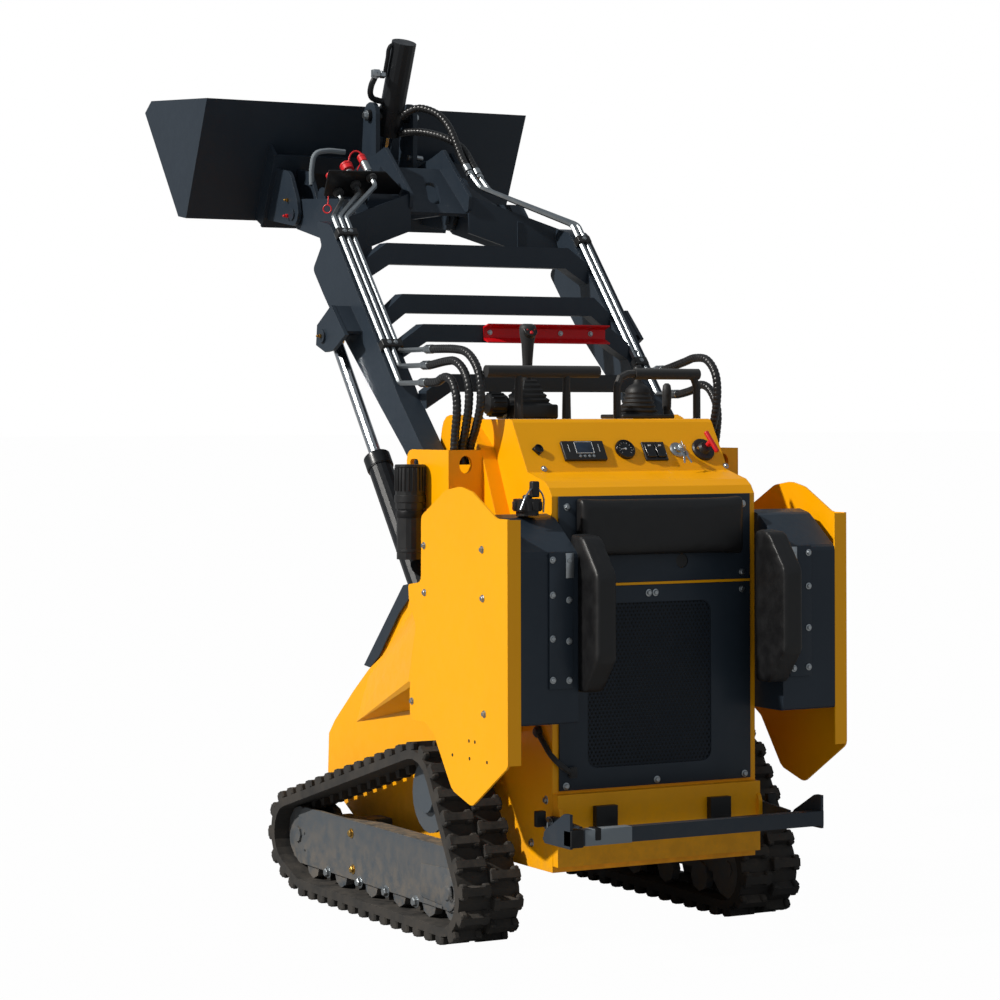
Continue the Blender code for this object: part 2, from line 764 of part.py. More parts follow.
def make_wings(machine):
    outline = rounded(
        [
            (0.000, 1.138, 0.0),
            (0.060, 1.138, 0.03),
            (0.191, 1.204, 0.04),
            (0.258, 1.217, 0.06),
            (0.338, 1.206, 0.04),
            (0.484, 1.133, 0.02),
            (0.485, 0.955, 0.02),
            (0.563, 0.945, 0.01),
            (0.557, 0.903, 0.01),
            (0.515, 0.832, 0.03),
            (0.533, 0.766, 0.02),
            (0.555, 0.654, 0.02),
            (0.552, 0.578, 0.02),
            (0.463, 0.581, 0.03),
            (0.410, 0.551, 0.02),
            (0.307, 0.416, 0.03),
            (0.197, 0.385, 0.03),
            (0.000, 0.507, 0.02),
        ]
    )
    wing = side_plate(outline, WING_OUTER_Y - SHEET, WING_OUTER_Y)
    flange = box((0.0, TANK_OUTER_Y + GAP, 0.510), (SHEET, WING_OUTER_Y - SHEET + BITE, 1.136))
    pair(fuse(wing, flange), "wing", "yellow", machine)


def make_towers(machine):
    inner = rounded(
        [
            (0.300, 0.560, 0.0),
            (CONSOLE_FRONT_X, 0.560, 0.0),
            (CONSOLE_FRONT_X, 1.200, 0.03),
            (0.670, 1.405, 0.05),
            (0.580, 1.405, 0.05),
            (0.450, 1.313, 0.02),
            (0.300, 1.000, 0.0),
        ]
    )
    tower = side_plate(inner, BODY_HALF + GAP, CHEEK_OUTER_Y)
    rear_x, top = 0.440, 1.310
    plate_inner, plate_outer = TOWER_OUTER_Y - PLATE, TOWER_OUTER_Y
    outer = rounded([(rear_x, 0.820, 0.0), (0.500, 0.875, 0.02), (0.690, 1.120, 0.02), (0.690, top, 0.03), (rear_x, top, 0.0)])
    outer_plate = side_plate(outer, plate_inner, plate_outer, [long_hole((0.630, 1.272), (0.657, 1.272), 0.012)])
    start, low_z = CHEEK_OUTER_Y - BITE, 0.780
    back = [(start, low_z), (plate_outer, low_z + 0.04), (plate_outer, top), (start, top)]
    hose_hole = oval(((CHEEK_OUTER_Y + TOWER_OUTER_Y) / 2, 1.270), 0.0195, 0.0245)
    rear_plate = cross_plate(back, rear_x + PLATE / 2, PLATE, [hose_hole])
    pivot = pin(ARM_PIVOT, start, plate_outer + 0.006, ARM_PIN_RADIUS, 16)
    x, z = LIFT_LOW_PIN
    lug_outer = LIFT_CYLINDER_Y - LIFT_EYE_HALF - 0.0005
    lug_outline = [(x - 0.040, z - 0.038, 0.03), (0.450, z - 0.038, 0.0), (0.450, 0.785, 0.0), (0.432, 0.785, 0.0), (x - 0.040, z + 0.036, 0.03)]
    low_lug = side_plate(rounded(lug_outline), lug_outer - 0.014, lug_outer)
    low_pin = pin(LIFT_LOW_PIN, lug_outer - BITE, LIFT_CYLINDER_Y + LIFT_EYE_HALF + 0.012, LIFT_PIN_RADIUS, 12)
    lug_web = box((0.432, start, z - 0.036), (0.4499, lug_outer - BITE, 0.784))
    pair(fuse(tower, rear_plate, outer_plate, pivot, lug_web, low_lug, low_pin), "tower", "yellow", machine)


def make_document_tube(machine):
    x, radius = 0.588, 0.041
    y = TOWER_OUTER_Y + GAP + radius
    tube = rod((x, y, 1.012), (x, y, 1.160), 0.037, 16)
    cap = rod((x, y, 1.150), (x, y, 1.270), radius, 16)
    name_part(fuse(tube, cap), "document_tube", "black", machine)


def make_step_blocks(machine):
    block = box((0.092, 0.145, 0.317), (0.1107, 0.210, 0.377))
    pair(block, "step_block", "rubber", machine)


# Controls on the console

def make_controls(machine):
    top = CONSOLE_TOP_Z + GAP
    base = box((0.435, 0.125, top), (0.560, 0.255, top + 0.028))
    boot = rod((0.495, 0.190, top + 0.026), (0.495, 0.190, top + 0.095), 0.052, 16, 0.024)
    stem = rod((0.495, 0.190, top + 0.09), (0.495, 0.190, top + 0.16), 0.014, 10)
    grip = rod((0.497, 0.190, top + 0.14), (0.492, 0.190, top + 0.262), 0.021, 12, 0.029)
    name_part(fuse(base, boot, stem, grip), "joystick_left", "black", machine)
    x, low_y, high_y, height = 0.400, 0.041, 0.350, 0.129
    bar = [(x, high_y - 0.080, top), (x, high_y - 0.080, top + height), (x, low_y + 0.080, top + height), (x, low_y + 0.080, top)]
    grips = rod((x, low_y - 0.015, top + height), (x, high_y + 0.015, top + height), 0.015, 12)
    name_part(fuse(pipe(bar, 0.013, 2), grips), "hand_bar", "black", machine)
    right_base = box((0.435, -0.250, top), (0.560, -0.080, top + 0.020))
    right_boot = rod((0.495, -0.165, top + 0.018), (0.495, -0.165, top + 0.075), 0.055, 16, 0.030)
    knob = rod((0.495, -0.165, top + 0.070), (0.495, -0.165, top + 0.150), 0.016, 12, 0.020)
    name_part(fuse(right_base, right_boot, knob), "joystick_right", "black", machine)
    loop = [(0.400, -0.040, top), (0.400, -0.040, top + 0.124), (0.400, -0.300, top + 0.124), (0.400, -0.300, top)]
    name_part(pipe(loop, 0.011, 2, 0.035), "hand_loop", "black", machine)
    lever = rod((0.510, -0.270, top), (0.510, -0.270, top + 0.050), 0.010, 10)
    name_part(lever, "throttle_lever", "black", machine)
    base = box((0.475, 0.2555, top), (0.525, 0.285, top + 0.020))
    horn = rod((0.500, 0.2555, top + 0.040), (0.500, 0.316, top + 0.040), 0.030, 14)
    name_part(fuse(base, horn), "horn", "black", machine)


# Platform

def make_platform(platform):
    x, z = PLATFORM_PIVOT
    rear = PLATFORM_REAR_X
    tray = box((rear + 0.004, -PLATFORM_HALF, 0.307), (0.060, PLATFORM_HALF, 0.315))
    bar = box((rear, -PLATFORM_HALF, 0.307), (rear + 0.030, PLATFORM_HALF, 0.346))
    pieces = [tray, bar]
    arm = rounded(
        [
            (-0.020, 0.307, 0.0),
            (x + 0.020, 0.307, 0.02),
            (x + 0.020, z + 0.020, 0.02),
            (x - 0.020, z + 0.020, 0.02),
            (-0.020, 0.345, 0.0),
        ]
    )
    for low, high in both_sides(BODY_HALF + GAP, BODY_HALF + GAP + 0.010):
        pieces.append(side_plate(arm, low, high, [circle((x, z), running(PLATFORM_PIN_RADIUS), 12)]))
    end = rounded([(rear + 0.001, 0.300, 0.0), (0.056, 0.300, 0.01), (0.056, 0.330, 0.02), (rear + 0.030, 0.388, 0.02), (rear + 0.001, 0.388, 0.0)])
    for low, high in both_sides(PLATFORM_HALF - 0.008, PLATFORM_HALF):
        pieces.append(side_plate(end, low, high))
    name_part(fuse(*pieces), "platform", "slate", platform)


# Lift arms

def make_arm_frame(arms):
    beam_outline = rounded(
        [
            (0.490, 1.090, 0.040),
            (0.560, 1.042, 0.030),
            (0.640, 1.150, 0.030),
            (0.700, 1.255, 0.030),
            (0.765, 1.313, 0.0),
            (0.910, 1.431, 0.0),
            (1.178, 1.654, 0.0),
            (1.290, 1.764, 0.0),
            (1.361, 1.840, 0.015),
            (1.301, 1.907, 0.010),
            (1.340, 1.985, 0.010),
            (*ARM_BACK_HIGH, 0.030),
            (*ARM_BACK_LOW, 0.0),
            (0.500, 1.170, 0.040),
        ]
    )
    leg_outline = rounded(
        [
            (1.345, 1.870, 0.0),
            (1.400, 1.868, 0.03),
            (1.540, 1.935, 0.05),
            (1.780, 1.988, 0.0),
            (1.822, 2.012, 0.02),
            (1.822, 2.060, 0.02),
            (1.780, 2.083, 0.0),
            (1.400, 2.058, 0.0),
            (1.345, 2.000, 0.0),
        ]
    )
    pieces = []
    for low, high in both_sides(ARM_INNER_Y, ARM_OUTER_Y):
        pieces.append(side_plate(beam_outline, low, high, [circle(ARM_PIVOT, running(ARM_PIN_RADIUS), 12)]))
    for low, high in both_sides(LEG_INNER_Y, LEG_OUTER_Y):
        pieces.append(side_plate(leg_outline, low, high, [circle(HITCH_PIVOT, running(HITCH_PIN_RADIUS), 12)]))
    # the plates that lean in from the beams' tops to the nose: outer and inner end as x, y, low z, high z
    brace = ((1.315, 0.400, 1.860, 1.975), (1.383, NOSE_PLATE_Y, 1.965, 2.080))
    for side in (1, -1):
        corners = [(x + shift, side * y, z) for x, y, low, high in brace for z in (low, high) for shift in (0, PLATE)]
        pieces.append(hull(corners))
    # x, top z, height, length along x and the y of the bend of each cross member
    members = (
        (1.130, 1.910, 0.062, 0.050, 0.306),
        (1.000, 1.755, 0.055, 0.050, 0.320),
        (0.893, 1.665, 0.050, 0.050, 0.306),
        (0.745, 1.520, 0.050, 0.050, 0.306),
    )
    end_y = ARM_INNER_Y + BITE
    for x, top, height, length, bend_y in members:
        end = top - CROSS_DROP
        half = [(bend_y, top), (end_y, end), (end_y, end - height), (bend_y - 0.010, top - height)]
        bridge = half + [(-y, z) for y, z in reversed(half)]
        pieces.append(cross_plate(bridge, x + length / 2, length))
    slot = long_hole((-0.010, 0.065), (-0.030, 0.140), 0.020)
    face = [(-0.252, 0.0), (0.252, 0.0), (0.11, 0.235), (-0.11, 0.235)]
    pieces.append(leaning_plate(HEAD_FOOT, HEAD_ANGLE, face, PLATE, [slot]))
    nose = rounded(
        [
            (1.380, 2.030, 0.01),
            (1.780, 2.030, 0.02),
            (1.790, 2.180, 0.05),
            (1.620, 2.215, 0.02),
            (1.550, 2.235, 0.01),
            (1.372, 2.075, 0.01),
        ]
    )
    x, z = TRUNNION
    ear = rounded(
        [
            (1.690, 2.060, 0.0),
            (1.785, 2.060, 0.0),
            (1.785, 2.200, 0.0),
            (x + COLLAR_RADIUS, z + COLLAR_RADIUS, COLLAR_RADIUS - BITE),
            (x - COLLAR_RADIUS, z + COLLAR_RADIUS, COLLAR_RADIUS - BITE),
            (1.680, 2.200, 0.0),
        ]
    )
    for low, high in both_sides(NOSE_PLATE_Y - 0.005, NOSE_PLATE_Y + 0.007):
        pieces.append(side_plate(nose, low, high))
    for low, high in both_sides(EAR_INNER_Y, EAR_OUTER_Y):
        pieces.append(side_plate(ear, low, high, [circle(TRUNNION, running(TRUNNION_PIN_RADIUS), 12)]))
    pieces.append(pin((1.700, 2.085), -LEG_INNER_Y - BITE, LEG_INNER_Y + BITE, 0.030, 14))
    bracket = [(1.103, 1.723), (1.200, 1.668), (1.207, 1.610), (1.145, 1.588), (1.090, 1.593), (1.010, 1.634)]
    plate_y = LIFT_CYLINDER_Y + 0.026
    for low, high in both_sides(plate_y, plate_y + PLATE):
        pieces.append(side_plate(bracket, low, high))
    for low, high in both_sides(ARM_OUTER_Y - BITE, plate_y + BITE):
        pieces.append(side_plate([(1.0245, 1.646), (1.103, 1.7215), (1.115, 1.714), (1.036, 1.638)], low, high))
    for low, high in both_sides(plate_y + PLATE - BITE, plate_y + PLATE + 0.006):
        pieces.append(pin(LIFT_HIGH_PIN, low, high, 0.020, 12))
    name_part(fuse(*pieces), "arm_frame", "slate", arms)


def beam_back(distance, rise):
    """The (x, z) point at a distance up the beam's rear face and a rise off it."""
    low, high = Vector(ARM_BACK_LOW), Vector(ARM_BACK_HIGH)
    along = (high - low).normalized()
    return low + along * distance + Vector((-along.y, along.x)) * rise


def coupler_point(along, out):
    """The (x, z) point up the coupler plate and out of its front face side."""
    rising = Vector((math.cos(COUPLER_ANGLE), math.sin(COUPLER_ANGLE)))
    facing = Vector((rising.y, -rising.x))
    return Vector(COUPLER_FOOT) + rising * along + facing * out


def make_arm_pipes(arms):
    """Steel pipes up the beams' rear faces, held by clamp blocks, with stubs for the hoses at the foot."""
    rise = PIPE_RADIUS + 0.006
    top = beam_back(0.700, rise)
    blocks = []
    for distance in (0.186, 0.630):
        corners = []
        for along in (distance - 0.012, distance + 0.012):
            for up in (GAP, rise + PIPE_RADIUS + 0.004):
                spot = beam_back(along, up)
                corners += [(spot.x, y, spot.y) for y in (PIPE_YS[0] - 0.012, PIPE_YS[-1] + 0.012)]
        blocks.append(hull(corners))
    runs = []
    for y, low, hose, (end_y, along) in zip(PIPE_YS, PIPE_FEET, HOSE_ROUTES, COUPLERS):
        foot = beam_back(low, rise)
        port = coupler_point(along, -0.003 - GAP)
        back = coupler_point(along, -0.045)
        route = [(hose[0][0], y, foot.y), (foot.x, y, foot.y), (top.x, y, top.y), (back.x, end_y, back.y), (port.x, end_y, port.y)]
        runs.append(pipe(route, PIPE_RADIUS, 1, 0.022))
    name_part(fuse(*blocks[:1], *runs, *blocks[1:]), "arm_pipes_left", "steel", arms)
    right_blocks = []
    for distance in (0.125, 0.630):
        corners = []
        for along in (distance - 0.012, distance + 0.012):
            for up in (GAP, rise + PIPE_RADIUS + 0.004):
                spot = beam_back(along, up)
                corners += [(spot.x, y, spot.y) for y in (-PIPE_YS[0] + 0.012, -PIPE_YS[1] - 0.012)]
        right_blocks.append(hull(corners))
    runs = []
    for y, low, hose, (end, end_y) in zip(PIPE_YS, RIGHT_PIPE_FEET, RIGHT_HOSE_ROUTES, RIGHT_PORTS):
        foot = beam_back(low, rise)
        route = [(hose[0][0], -y, foot.y), (foot.x, -y, foot.y), (top.x, -y, top.y), (end[0] - 0.058, end_y - 0.010, end[1] - 0.053), (end[0], end_y, end[1])]
        runs.append(pipe(route, PIPE_RADIUS, 1, 0.022))
    name_part(fuse(*right_blocks[:1], *runs, *right_blocks[1:]), "arm_pipes_right", "steel", arms)


def make_couplers(arms):
    """A plate on the left leg that carries three hydraulic couplers under dust caps."""
    outline = [(0.359, 0.0), (0.374, 0.097), (0.185, 0.1005), (0.112, 0.040), (0.112, 0.016), (0.215, 0.016), (0.225, 0.0)]
    plate = leaning_plate(COUPLER_FOOT, COUPLER_ANGLE, outline, SHEET)
    pieces = []
    for y, along in COUPLERS:
        for start, end, radius in ((0.0, 0.062, 0.0125), (0.060, 0.098, 0.018)):
            low, high = coupler_point(along, start), coupler_point(along, end)
            pieces.append(rod((low.x, y, low.y), (high.x, y, high.y), radius, 8))
    name_part(fuse(plate, *pieces), "couplers", "black", arms)


def make_red_channel(arms):
    """The red painted channel along the rear of the third cross member."""
    x = 0.893 - GAP
    outline = [
        (x, 1.622),
        (x, 1.660),
        (x - 0.032, 1.668),
        (x - 0.032, 1.664),
        (x - 0.004, 1.655),
        (x - 0.004, 1.628),
        (x - 0.032, 1.616),
        (x - 0.032, 1.612),
    ]
    name_part(side_plate(outline, -0.292, 0.115), "red_channel", "red", arms)


def make_hoses(machine):
    """The hoses that loop from the beams' pipes into the towers, gathered by a block at the tower."""
    for name, side, routes, ys in (("left", 1, HOSE_ROUTES, PIPE_YS), ("right", -1, RIGHT_HOSE_ROUTES, PIPE_YS[:2])):
        rise = PIPE_RADIUS + 0.006
        runs = []
        for y, low, route in zip(ys, PIPE_FEET if side == 1 else RIGHT_PIPE_FEET, routes):
            start = (route[0][0] - 0.0015, beam_back(low, rise).y)
            points = [(x, side * y, z) for x, z in [start, (start[0] - 0.03, start[1]), *route[1:]]]
            runs.append(pipe(points, HOSE_RADIUS, 1))
        block = box((0.4525, min(side * ys[0], side * ys[-1]) - 0.009, 1.3105), (0.497, max(side * ys[0], side * ys[-1]) + 0.009, 1.324))
        name_part(fuse(block, *runs), "hoses_" + name, "black", machine)


# Cylinders

def point_along(start, end, distance):
    heading = Vector((end[0] - start[0], end[1] - start[1])).normalized()
    return (start[0] + heading.x * distance, start[1] + heading.y * distance)


def make_tilt_hoses(arms):
    """Two hoses from the right pipes to the tilt cylinder, held by one block at the pipes."""
    routes = (
        ((1.470, -0.118, 2.210), (1.515, -0.105, 2.295), (1.560, -0.085, 2.345), (1.610, -0.050, 2.368), (1.642, -0.022, 2.358), (1.6665, -0.012, 2.344)),
        ((1.452, -0.150, 2.180), (1.500, -0.140, 2.235), (1.545, -0.105, 2.270), (1.600, -0.070, 2.290), (1.650, -0.040, 2.297), (1.698, -0.022, 2.294)),
    )
    runs = []
    for (end, end_y), route in zip(RIGHT_PORTS, routes):
        start = Vector((end[0] + 0.0012, end_y, end[1] + 0.0012))
        runs.append(pipe([start, *route], HOSE_RADIUS, 1))
    x, z = RIGHT_PORTS[0][0]
    corners = [(x + along + off, y, z + along - off) for along in (0.006, 0.020) for off in (-0.012, 0.012) for y in (-0.113, -0.164)]
    name_part(fuse(hull(corners), *runs), "tilt_hoses", "black", arms)


def make_lift_cylinder(barrels, rods):
    y = LIFT_CYLINDER_Y
    low, high = LIFT_LOW_PIN, LIFT_HIGH_PIN
    reach = math.dist(low, high)

    def tube(start, end, radius, sides):
        (x, z), (end_x, end_z) = point_along(low, high, start), point_along(low, high, end)
        return rod((x, y, z), (end_x, y, end_z), radius, sides)

    eye = pin(low, y - LIFT_EYE_HALF, y + LIFT_EYE_HALF, 0.038, 16)
    hole = pin(low, y - 0.1, y + 0.1, running(LIFT_PIN_RADIUS), 12)
    barrel = tube(0.035, LIFT_BARREL_END, LIFT_BARREL_RADIUS, 16)
    gland = tube(LIFT_BARREL_END - 0.045, LIFT_BARREL_END - 0.012, LIFT_BARREL_RADIUS + 0.0025, 16)
    bore = tube(0.09, LIFT_BARREL_END + 0.1, LIFT_ROD_RADIUS + GAP, 12)
    pair(cut(fuse(eye, barrel, gland), hole, bore), "lift_barrel", "black", *barrels)
    shaft = tube(LIFT_BARREL_END - 0.16, reach - 0.02, LIFT_ROD_RADIUS, 12)
    rod_eye = pin(high, y - 0.020, y + 0.020, 0.030, 16)
    pair(fuse(shaft, rod_eye), "lift_rod", "steel", *rods)


def make_tilt_cylinder(barrel_body, rod_body):
    high, low = TRUNNION, TILT_ROD_PIN

    def tube(start, end, radius, sides):
        (x, z), (end_x, end_z) = point_along(high, low, start), point_along(high, low, end)
        return rod((x, 0, z), (end_x, 0, end_z), radius, sides)

    barrel = tube(-TILT_BARREL_ABOVE, TILT_BARREL_BELOW, TILT_BARREL_RADIUS, 16)
    collar = tube(-0.026, 0.026, COLLAR_RADIUS, 16)
    pins = pin(TRUNNION, -EAR_OUTER_Y - 0.012, EAR_OUTER_Y + 0.012, TRUNNION_PIN_RADIUS, 12)
    bore = tube(-TILT_BARREL_ABOVE + 0.012, TILT_BARREL_BELOW + 0.1, TILT_ROD_RADIUS + GAP, 12)
    name_part(cut(fuse(barrel, collar, pins), bore), "tilt_barrel", "black", barrel_body)
    shaft = tube(-TILT_BARREL_ABOVE + 0.012 + TILT_RETRACT, math.dist(high, low) - 0.02, TILT_ROD_RADIUS, 12)
    eye = pin(TILT_ROD_PIN, -0.024, 0.024, 0.030, 16)
    name_part(fuse(shaft, eye), "tilt_rod", "steel", rod_body)


# Hitch and bucket

def make_hitch(hitch):
    back = Vector((BUCKET_BACK_TOP[0] - BUCKET_BACK_LOW[0], BUCKET_BACK_TOP[1] - BUCKET_BACK_LOW[1])).normalized()
    angle = math.atan2(back.y, back.x)
    normal = Vector((math.sin(angle), -math.cos(angle)))
    foot = Vector(BUCKET_BACK_LOW) - normal * (MOUNT_DEPTH + GAP + PLATE / 2)
    window = [(-0.20, 0.10), (0.20, 0.10), (0.20, 0.19), (-0.20, 0.19)]
    face = leaning_plate(foot, angle, [(-0.33, 0.0), (0.33, 0.0), (0.33, 0.245), (-0.33, 0.245)], PLATE, [window])
    pieces = []
    ear = rounded([(1.735, 2.035, 0.0), (1.755, 1.995, 0.03), (1.980, 2.030, 0.0), (1.915, 2.190, 0.0), (1.800, 2.170, 0.05), (1.745, 2.075, 0.02)])
    for side in (1, -1):
        low, high = sorted((side * (LEG_INNER_Y - 0.022), side * (LEG_OUTER_Y + 0.022)))
        pieces.append(pin(HITCH_PIVOT, low, high, HITCH_PIN_RADIUS, 12))
        for inner in (LEG_INNER_Y - 0.017, LEG_OUTER_Y + 0.005):
            low, high = sorted((side * inner, side * (inner + PLATE)))
            pieces.append(side_plate(ear, low, high))
    x, z = TILT_ROD_PIN
    lug_outline = rounded([(x - 0.030, z - 0.030, 0.025), (1.985, 2.030, 0.0), (1.928, 2.150, 0.0), (x - 0.030, z + 0.034, 0.03)])
    for low, high in both_sides(0.030, 0.030 + PLATE):
        pieces.append(side_plate(lug_outline, low, high))
    name_part(fuse(face, *pieces), "hitch", "slate", hitch)


def make_bucket(hitch):
    outline = [BUCKET_BACK_TOP, BUCKET_BACK_LOW, BUCKET_HEEL, BUCKET_LIP, BUCKET_LIP_TOP]
    solid = side_plate(outline, -BUCKET_HALF, BUCKET_HALF)
    centre = Vector((sum(x for x, _ in outline) / 5, sum(z for _, z in outline) / 5))
    inner = []
    for x, z in outline:
        point = Vector((x, z))
        inner.append(point + (centre - point).normalized() * BUCKET_SHEET * 1.6)
    lift = Vector((0, 0.2))
    mouth = [inner[0] + lift, inner[0], inner[1], inner[2], Vector(BUCKET_LIP) + Vector((-0.012, 0.004)), Vector(BUCKET_LIP) + Vector((-0.012, 0.2))]
    hollow = side_plate([tuple(point) for point in mouth], -BUCKET_HALF + BUCKET_SHEET, BUCKET_HALF - BUCKET_SHEET)
    low, high = Vector(BUCKET_BACK_LOW), Vector(BUCKET_BACK_TOP)
    back = (high - low).normalized()
    normal = Vector((back.y, -back.x))
    ear = [low + back * 0.005 + normal * BITE, low + back * 0.260 + normal * BITE]
    ear += [low + back * 0.245 - normal * MOUNT_DEPTH, low + back * 0.005 - normal * MOUNT_DEPTH]
    pieces = []
    for side in (1, -1):
        start, end = sorted((side * 0.318, side * 0.330))
        pieces.append(side_plate([tuple(point) for point in ear], start, end))
    name_part(fuse(cut(solid, hollow), *pieces), "bucket", "slate", hitch)


def main():
    machine = body("machine")
    platform = body("platform_body", PLATFORM_PIVOT)
    arms = body("arms_body", ARM_PIVOT)
    barrels = (body("barrel_left_body", LIFT_LOW_PIN, 0.0), body("barrel_right_body", LIFT_LOW_PIN, 0.0))
    rods = (body("rod_left_body", LIFT_LOW_PIN, 0.0), body("rod_right_body", LIFT_LOW_PIN, 0.0))
    trunnion = body("trunnion_body", TRUNNION)
    tilt_rod = body("tilt_rod_body", TRUNNION)
    hitch = body("hitch_body", HITCH_PIVOT)
    make_track(machine)
    make_undercarriage(machine)
    make_sprocket(machine)
    make_chassis(machine)
    make_engine(machine)
    make_hood(machine)
    make_console(machine)
    make_rear_panel(machine)
    make_back_pad(machine)
    make_tanks(machine)
    make_knee_pads(machine)
    make_wings(machine)
    make_towers(machine)
    make_document_tube(machine)
    make_step_blocks(machine)
    make_controls(machine)
    make_platform(platform)
    make_arm_frame(arms)
    make_arm_pipes(arms)
    make_couplers(arms)
    make_red_channel(arms)
    make_hoses(machine)
    make_tilt_hoses(arms)
    make_lift_cylinder(barrels, rods)
    make_tilt_cylinder(trunnion, tilt_rod)
    make_hitch(hitch)
    make_bucket(hitch)


clear_scene()
MODEL = collection("mini_loader")
WORK = collection("work")
main()
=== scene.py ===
# %% [markdown]
# A stand-on mini loader, dressed for its portrait.
# The real machine is about 2.5 m long and stands on two rubber tracks. Its steel is sprayed in two
# enamels, a safety yellow body and dark slate arms, and its wear parts are rubber, chrome and zinc.
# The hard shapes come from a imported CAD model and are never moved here. This lesson gives them
# their finishes, and adds what a CAD solid is too plain for: soft pads, bolts, hoses and mesh.

# %% Load the frame
import math

import bmesh
import bpy
from mathutils import Matrix, Vector


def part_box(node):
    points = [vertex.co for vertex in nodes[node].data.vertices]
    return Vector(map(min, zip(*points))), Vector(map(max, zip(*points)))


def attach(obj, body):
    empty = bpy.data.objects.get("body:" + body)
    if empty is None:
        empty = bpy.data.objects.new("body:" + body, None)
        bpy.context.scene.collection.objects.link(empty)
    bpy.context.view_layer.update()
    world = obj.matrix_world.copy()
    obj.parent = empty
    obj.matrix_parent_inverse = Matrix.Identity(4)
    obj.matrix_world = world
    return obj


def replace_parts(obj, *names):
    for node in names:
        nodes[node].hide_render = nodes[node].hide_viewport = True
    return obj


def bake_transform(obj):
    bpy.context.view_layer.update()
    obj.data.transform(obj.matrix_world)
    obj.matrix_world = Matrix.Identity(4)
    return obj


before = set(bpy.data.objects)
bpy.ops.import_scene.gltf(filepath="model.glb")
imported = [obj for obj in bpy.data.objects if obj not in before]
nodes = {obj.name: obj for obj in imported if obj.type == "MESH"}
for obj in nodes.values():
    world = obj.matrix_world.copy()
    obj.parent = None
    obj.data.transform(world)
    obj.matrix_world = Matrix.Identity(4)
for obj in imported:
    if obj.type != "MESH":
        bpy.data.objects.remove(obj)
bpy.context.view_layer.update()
bpy.ops.object.select_all(action="DESELECT")

# %% [markdown]
# The camera stands behind the machine's left rear corner, a little over chest height and about
# 8.5 m away, with a long lens, so that upright edges stay nearly parallel. Its turn is given by the
# directions right and up, because they come straight from the lines of the photograph.

# %% The camera
RIGHT = Vector((-0.475685, -0.879613, -0.002280))
UP = Vector((-0.008298, 0.001896, 0.999964))
CAMERA_PLACE = (-7.5184, 4.0145, 1.3989)
SENSOR_MM, LENS_MM = 36, 102.87
LENS_SHIFT = (0.00724, -0.10645)


def linked(name, data):
    """A new object of this data, in the scene."""
    made = bpy.data.objects.new(name, data)
    bpy.context.scene.collection.objects.link(made)
    return made


camera_data = bpy.data.cameras.new("portrait_camera")
camera = linked("portrait_camera", camera_data)
turn = Matrix((RIGHT, UP, RIGHT.cross(UP))).transposed().to_4x4()
camera.matrix_world = Matrix.Translation(CAMERA_PLACE) @ turn
camera_data.sensor_width, camera_data.lens = SENSOR_MM, LENS_MM
camera_data.shift_x, camera_data.shift_y = LENS_SHIFT
bpy.context.scene.camera = camera
bpy.context.scene.view_settings.view_transform = "Standard"
print("camera stands at", [round(value, 2) for value in camera.location])

# %% [markdown]
# Colours are written as web colours, which are sRGB. Blender mixes light in linear values, so one
# function turns a hex value to linear. The others each add one kind of shader node and give back
# its output, which keeps each material below to a few readable lines.


# %% Colour and node helpers
def linear(text):
    """A hex sRGB colour as linear red, green, blue and alpha."""
    parts = [int(text[place : place + 2], 16) / 255 for place in (1, 3, 5)]
    return (*[part / 12.92 if part <= 0.04045 else ((part + 0.055) / 1.055) ** 2.4 for part in parts], 1)


def wire(tree, node, sockets):
    """Gives sockets their values. A value that is another node's output is linked."""
    for name, value in sockets.items():
        if isinstance(value, bpy.types.NodeSocket):
            tree.links.new(value, node.inputs[name])
        else:
            node.inputs[name].default_value = value


def add(tree, kind, sockets=None, **settings):
    """Adds a shader node with its settings and sockets."""
    made = tree.nodes.new("ShaderNode" + kind)
    for name, value in settings.items():
        setattr(made, name, value)
    wire(tree, made, sockets or {})
    return made


def noise(tree, place, scale, detail, roughness=0.5):
    """A noise texture's value."""
    sockets = {"Vector": place, "Scale": scale, "Detail": detail, "Roughness": roughness}
    return add(tree, "TexNoise", sockets).outputs["Fac"]


def mapped(tree, value, low, high, start=0.0, end=1.0):
    """A value that ran from low to high, now running from start to end."""
    sockets = {"Value": value, "From Min": low, "From Max": high, "To Min": start, "To Max": end}
    return add(tree, "MapRange", sockets).outputs[0]


def combined(tree, operation, first, second):
    """Two values put together by a sum."""
    return add(tree, "Math", {0: first, 1: second}, operation=operation).outputs[0]


def mixed(tree, share, first, second):
    """Two colours mixed by a share."""
    return add(tree, "Mix", {"Factor": share, 6: first, 7: second}, data_type="RGBA").outputs[2]


def z_of(tree, vector):
    """A vector's height."""
    return add(tree, "SeparateXYZ", {"Vector": vector}).outputs["Z"]


def relief(tree, height, distance, strength, normal):
    """A normal with one more relief on it."""
    sockets = {"Height": height, "Distance": distance, "Strength": strength, "Normal": normal}
    return add(tree, "Bump", sockets).outputs[0]


def new_material(name):
    """An empty material, its node tree, its shader and its Object coordinates."""
    made = bpy.data.materials.new(name)
    made.use_nodes = True
    tree = made.node_tree
    return made, tree, tree.nodes["Principled BSDF"], tree.nodes.new("ShaderNodeTexCoord").outputs["Object"]


# %% [markdown]
# Light and floor. The photograph is a cut-out on white, with the sun on the machine's left side.
# A broad lamp stands for the sun, and a pale dome fills the shade. The white background is only
# shown to camera rays, so no extra light falls on the paint or shines in it.

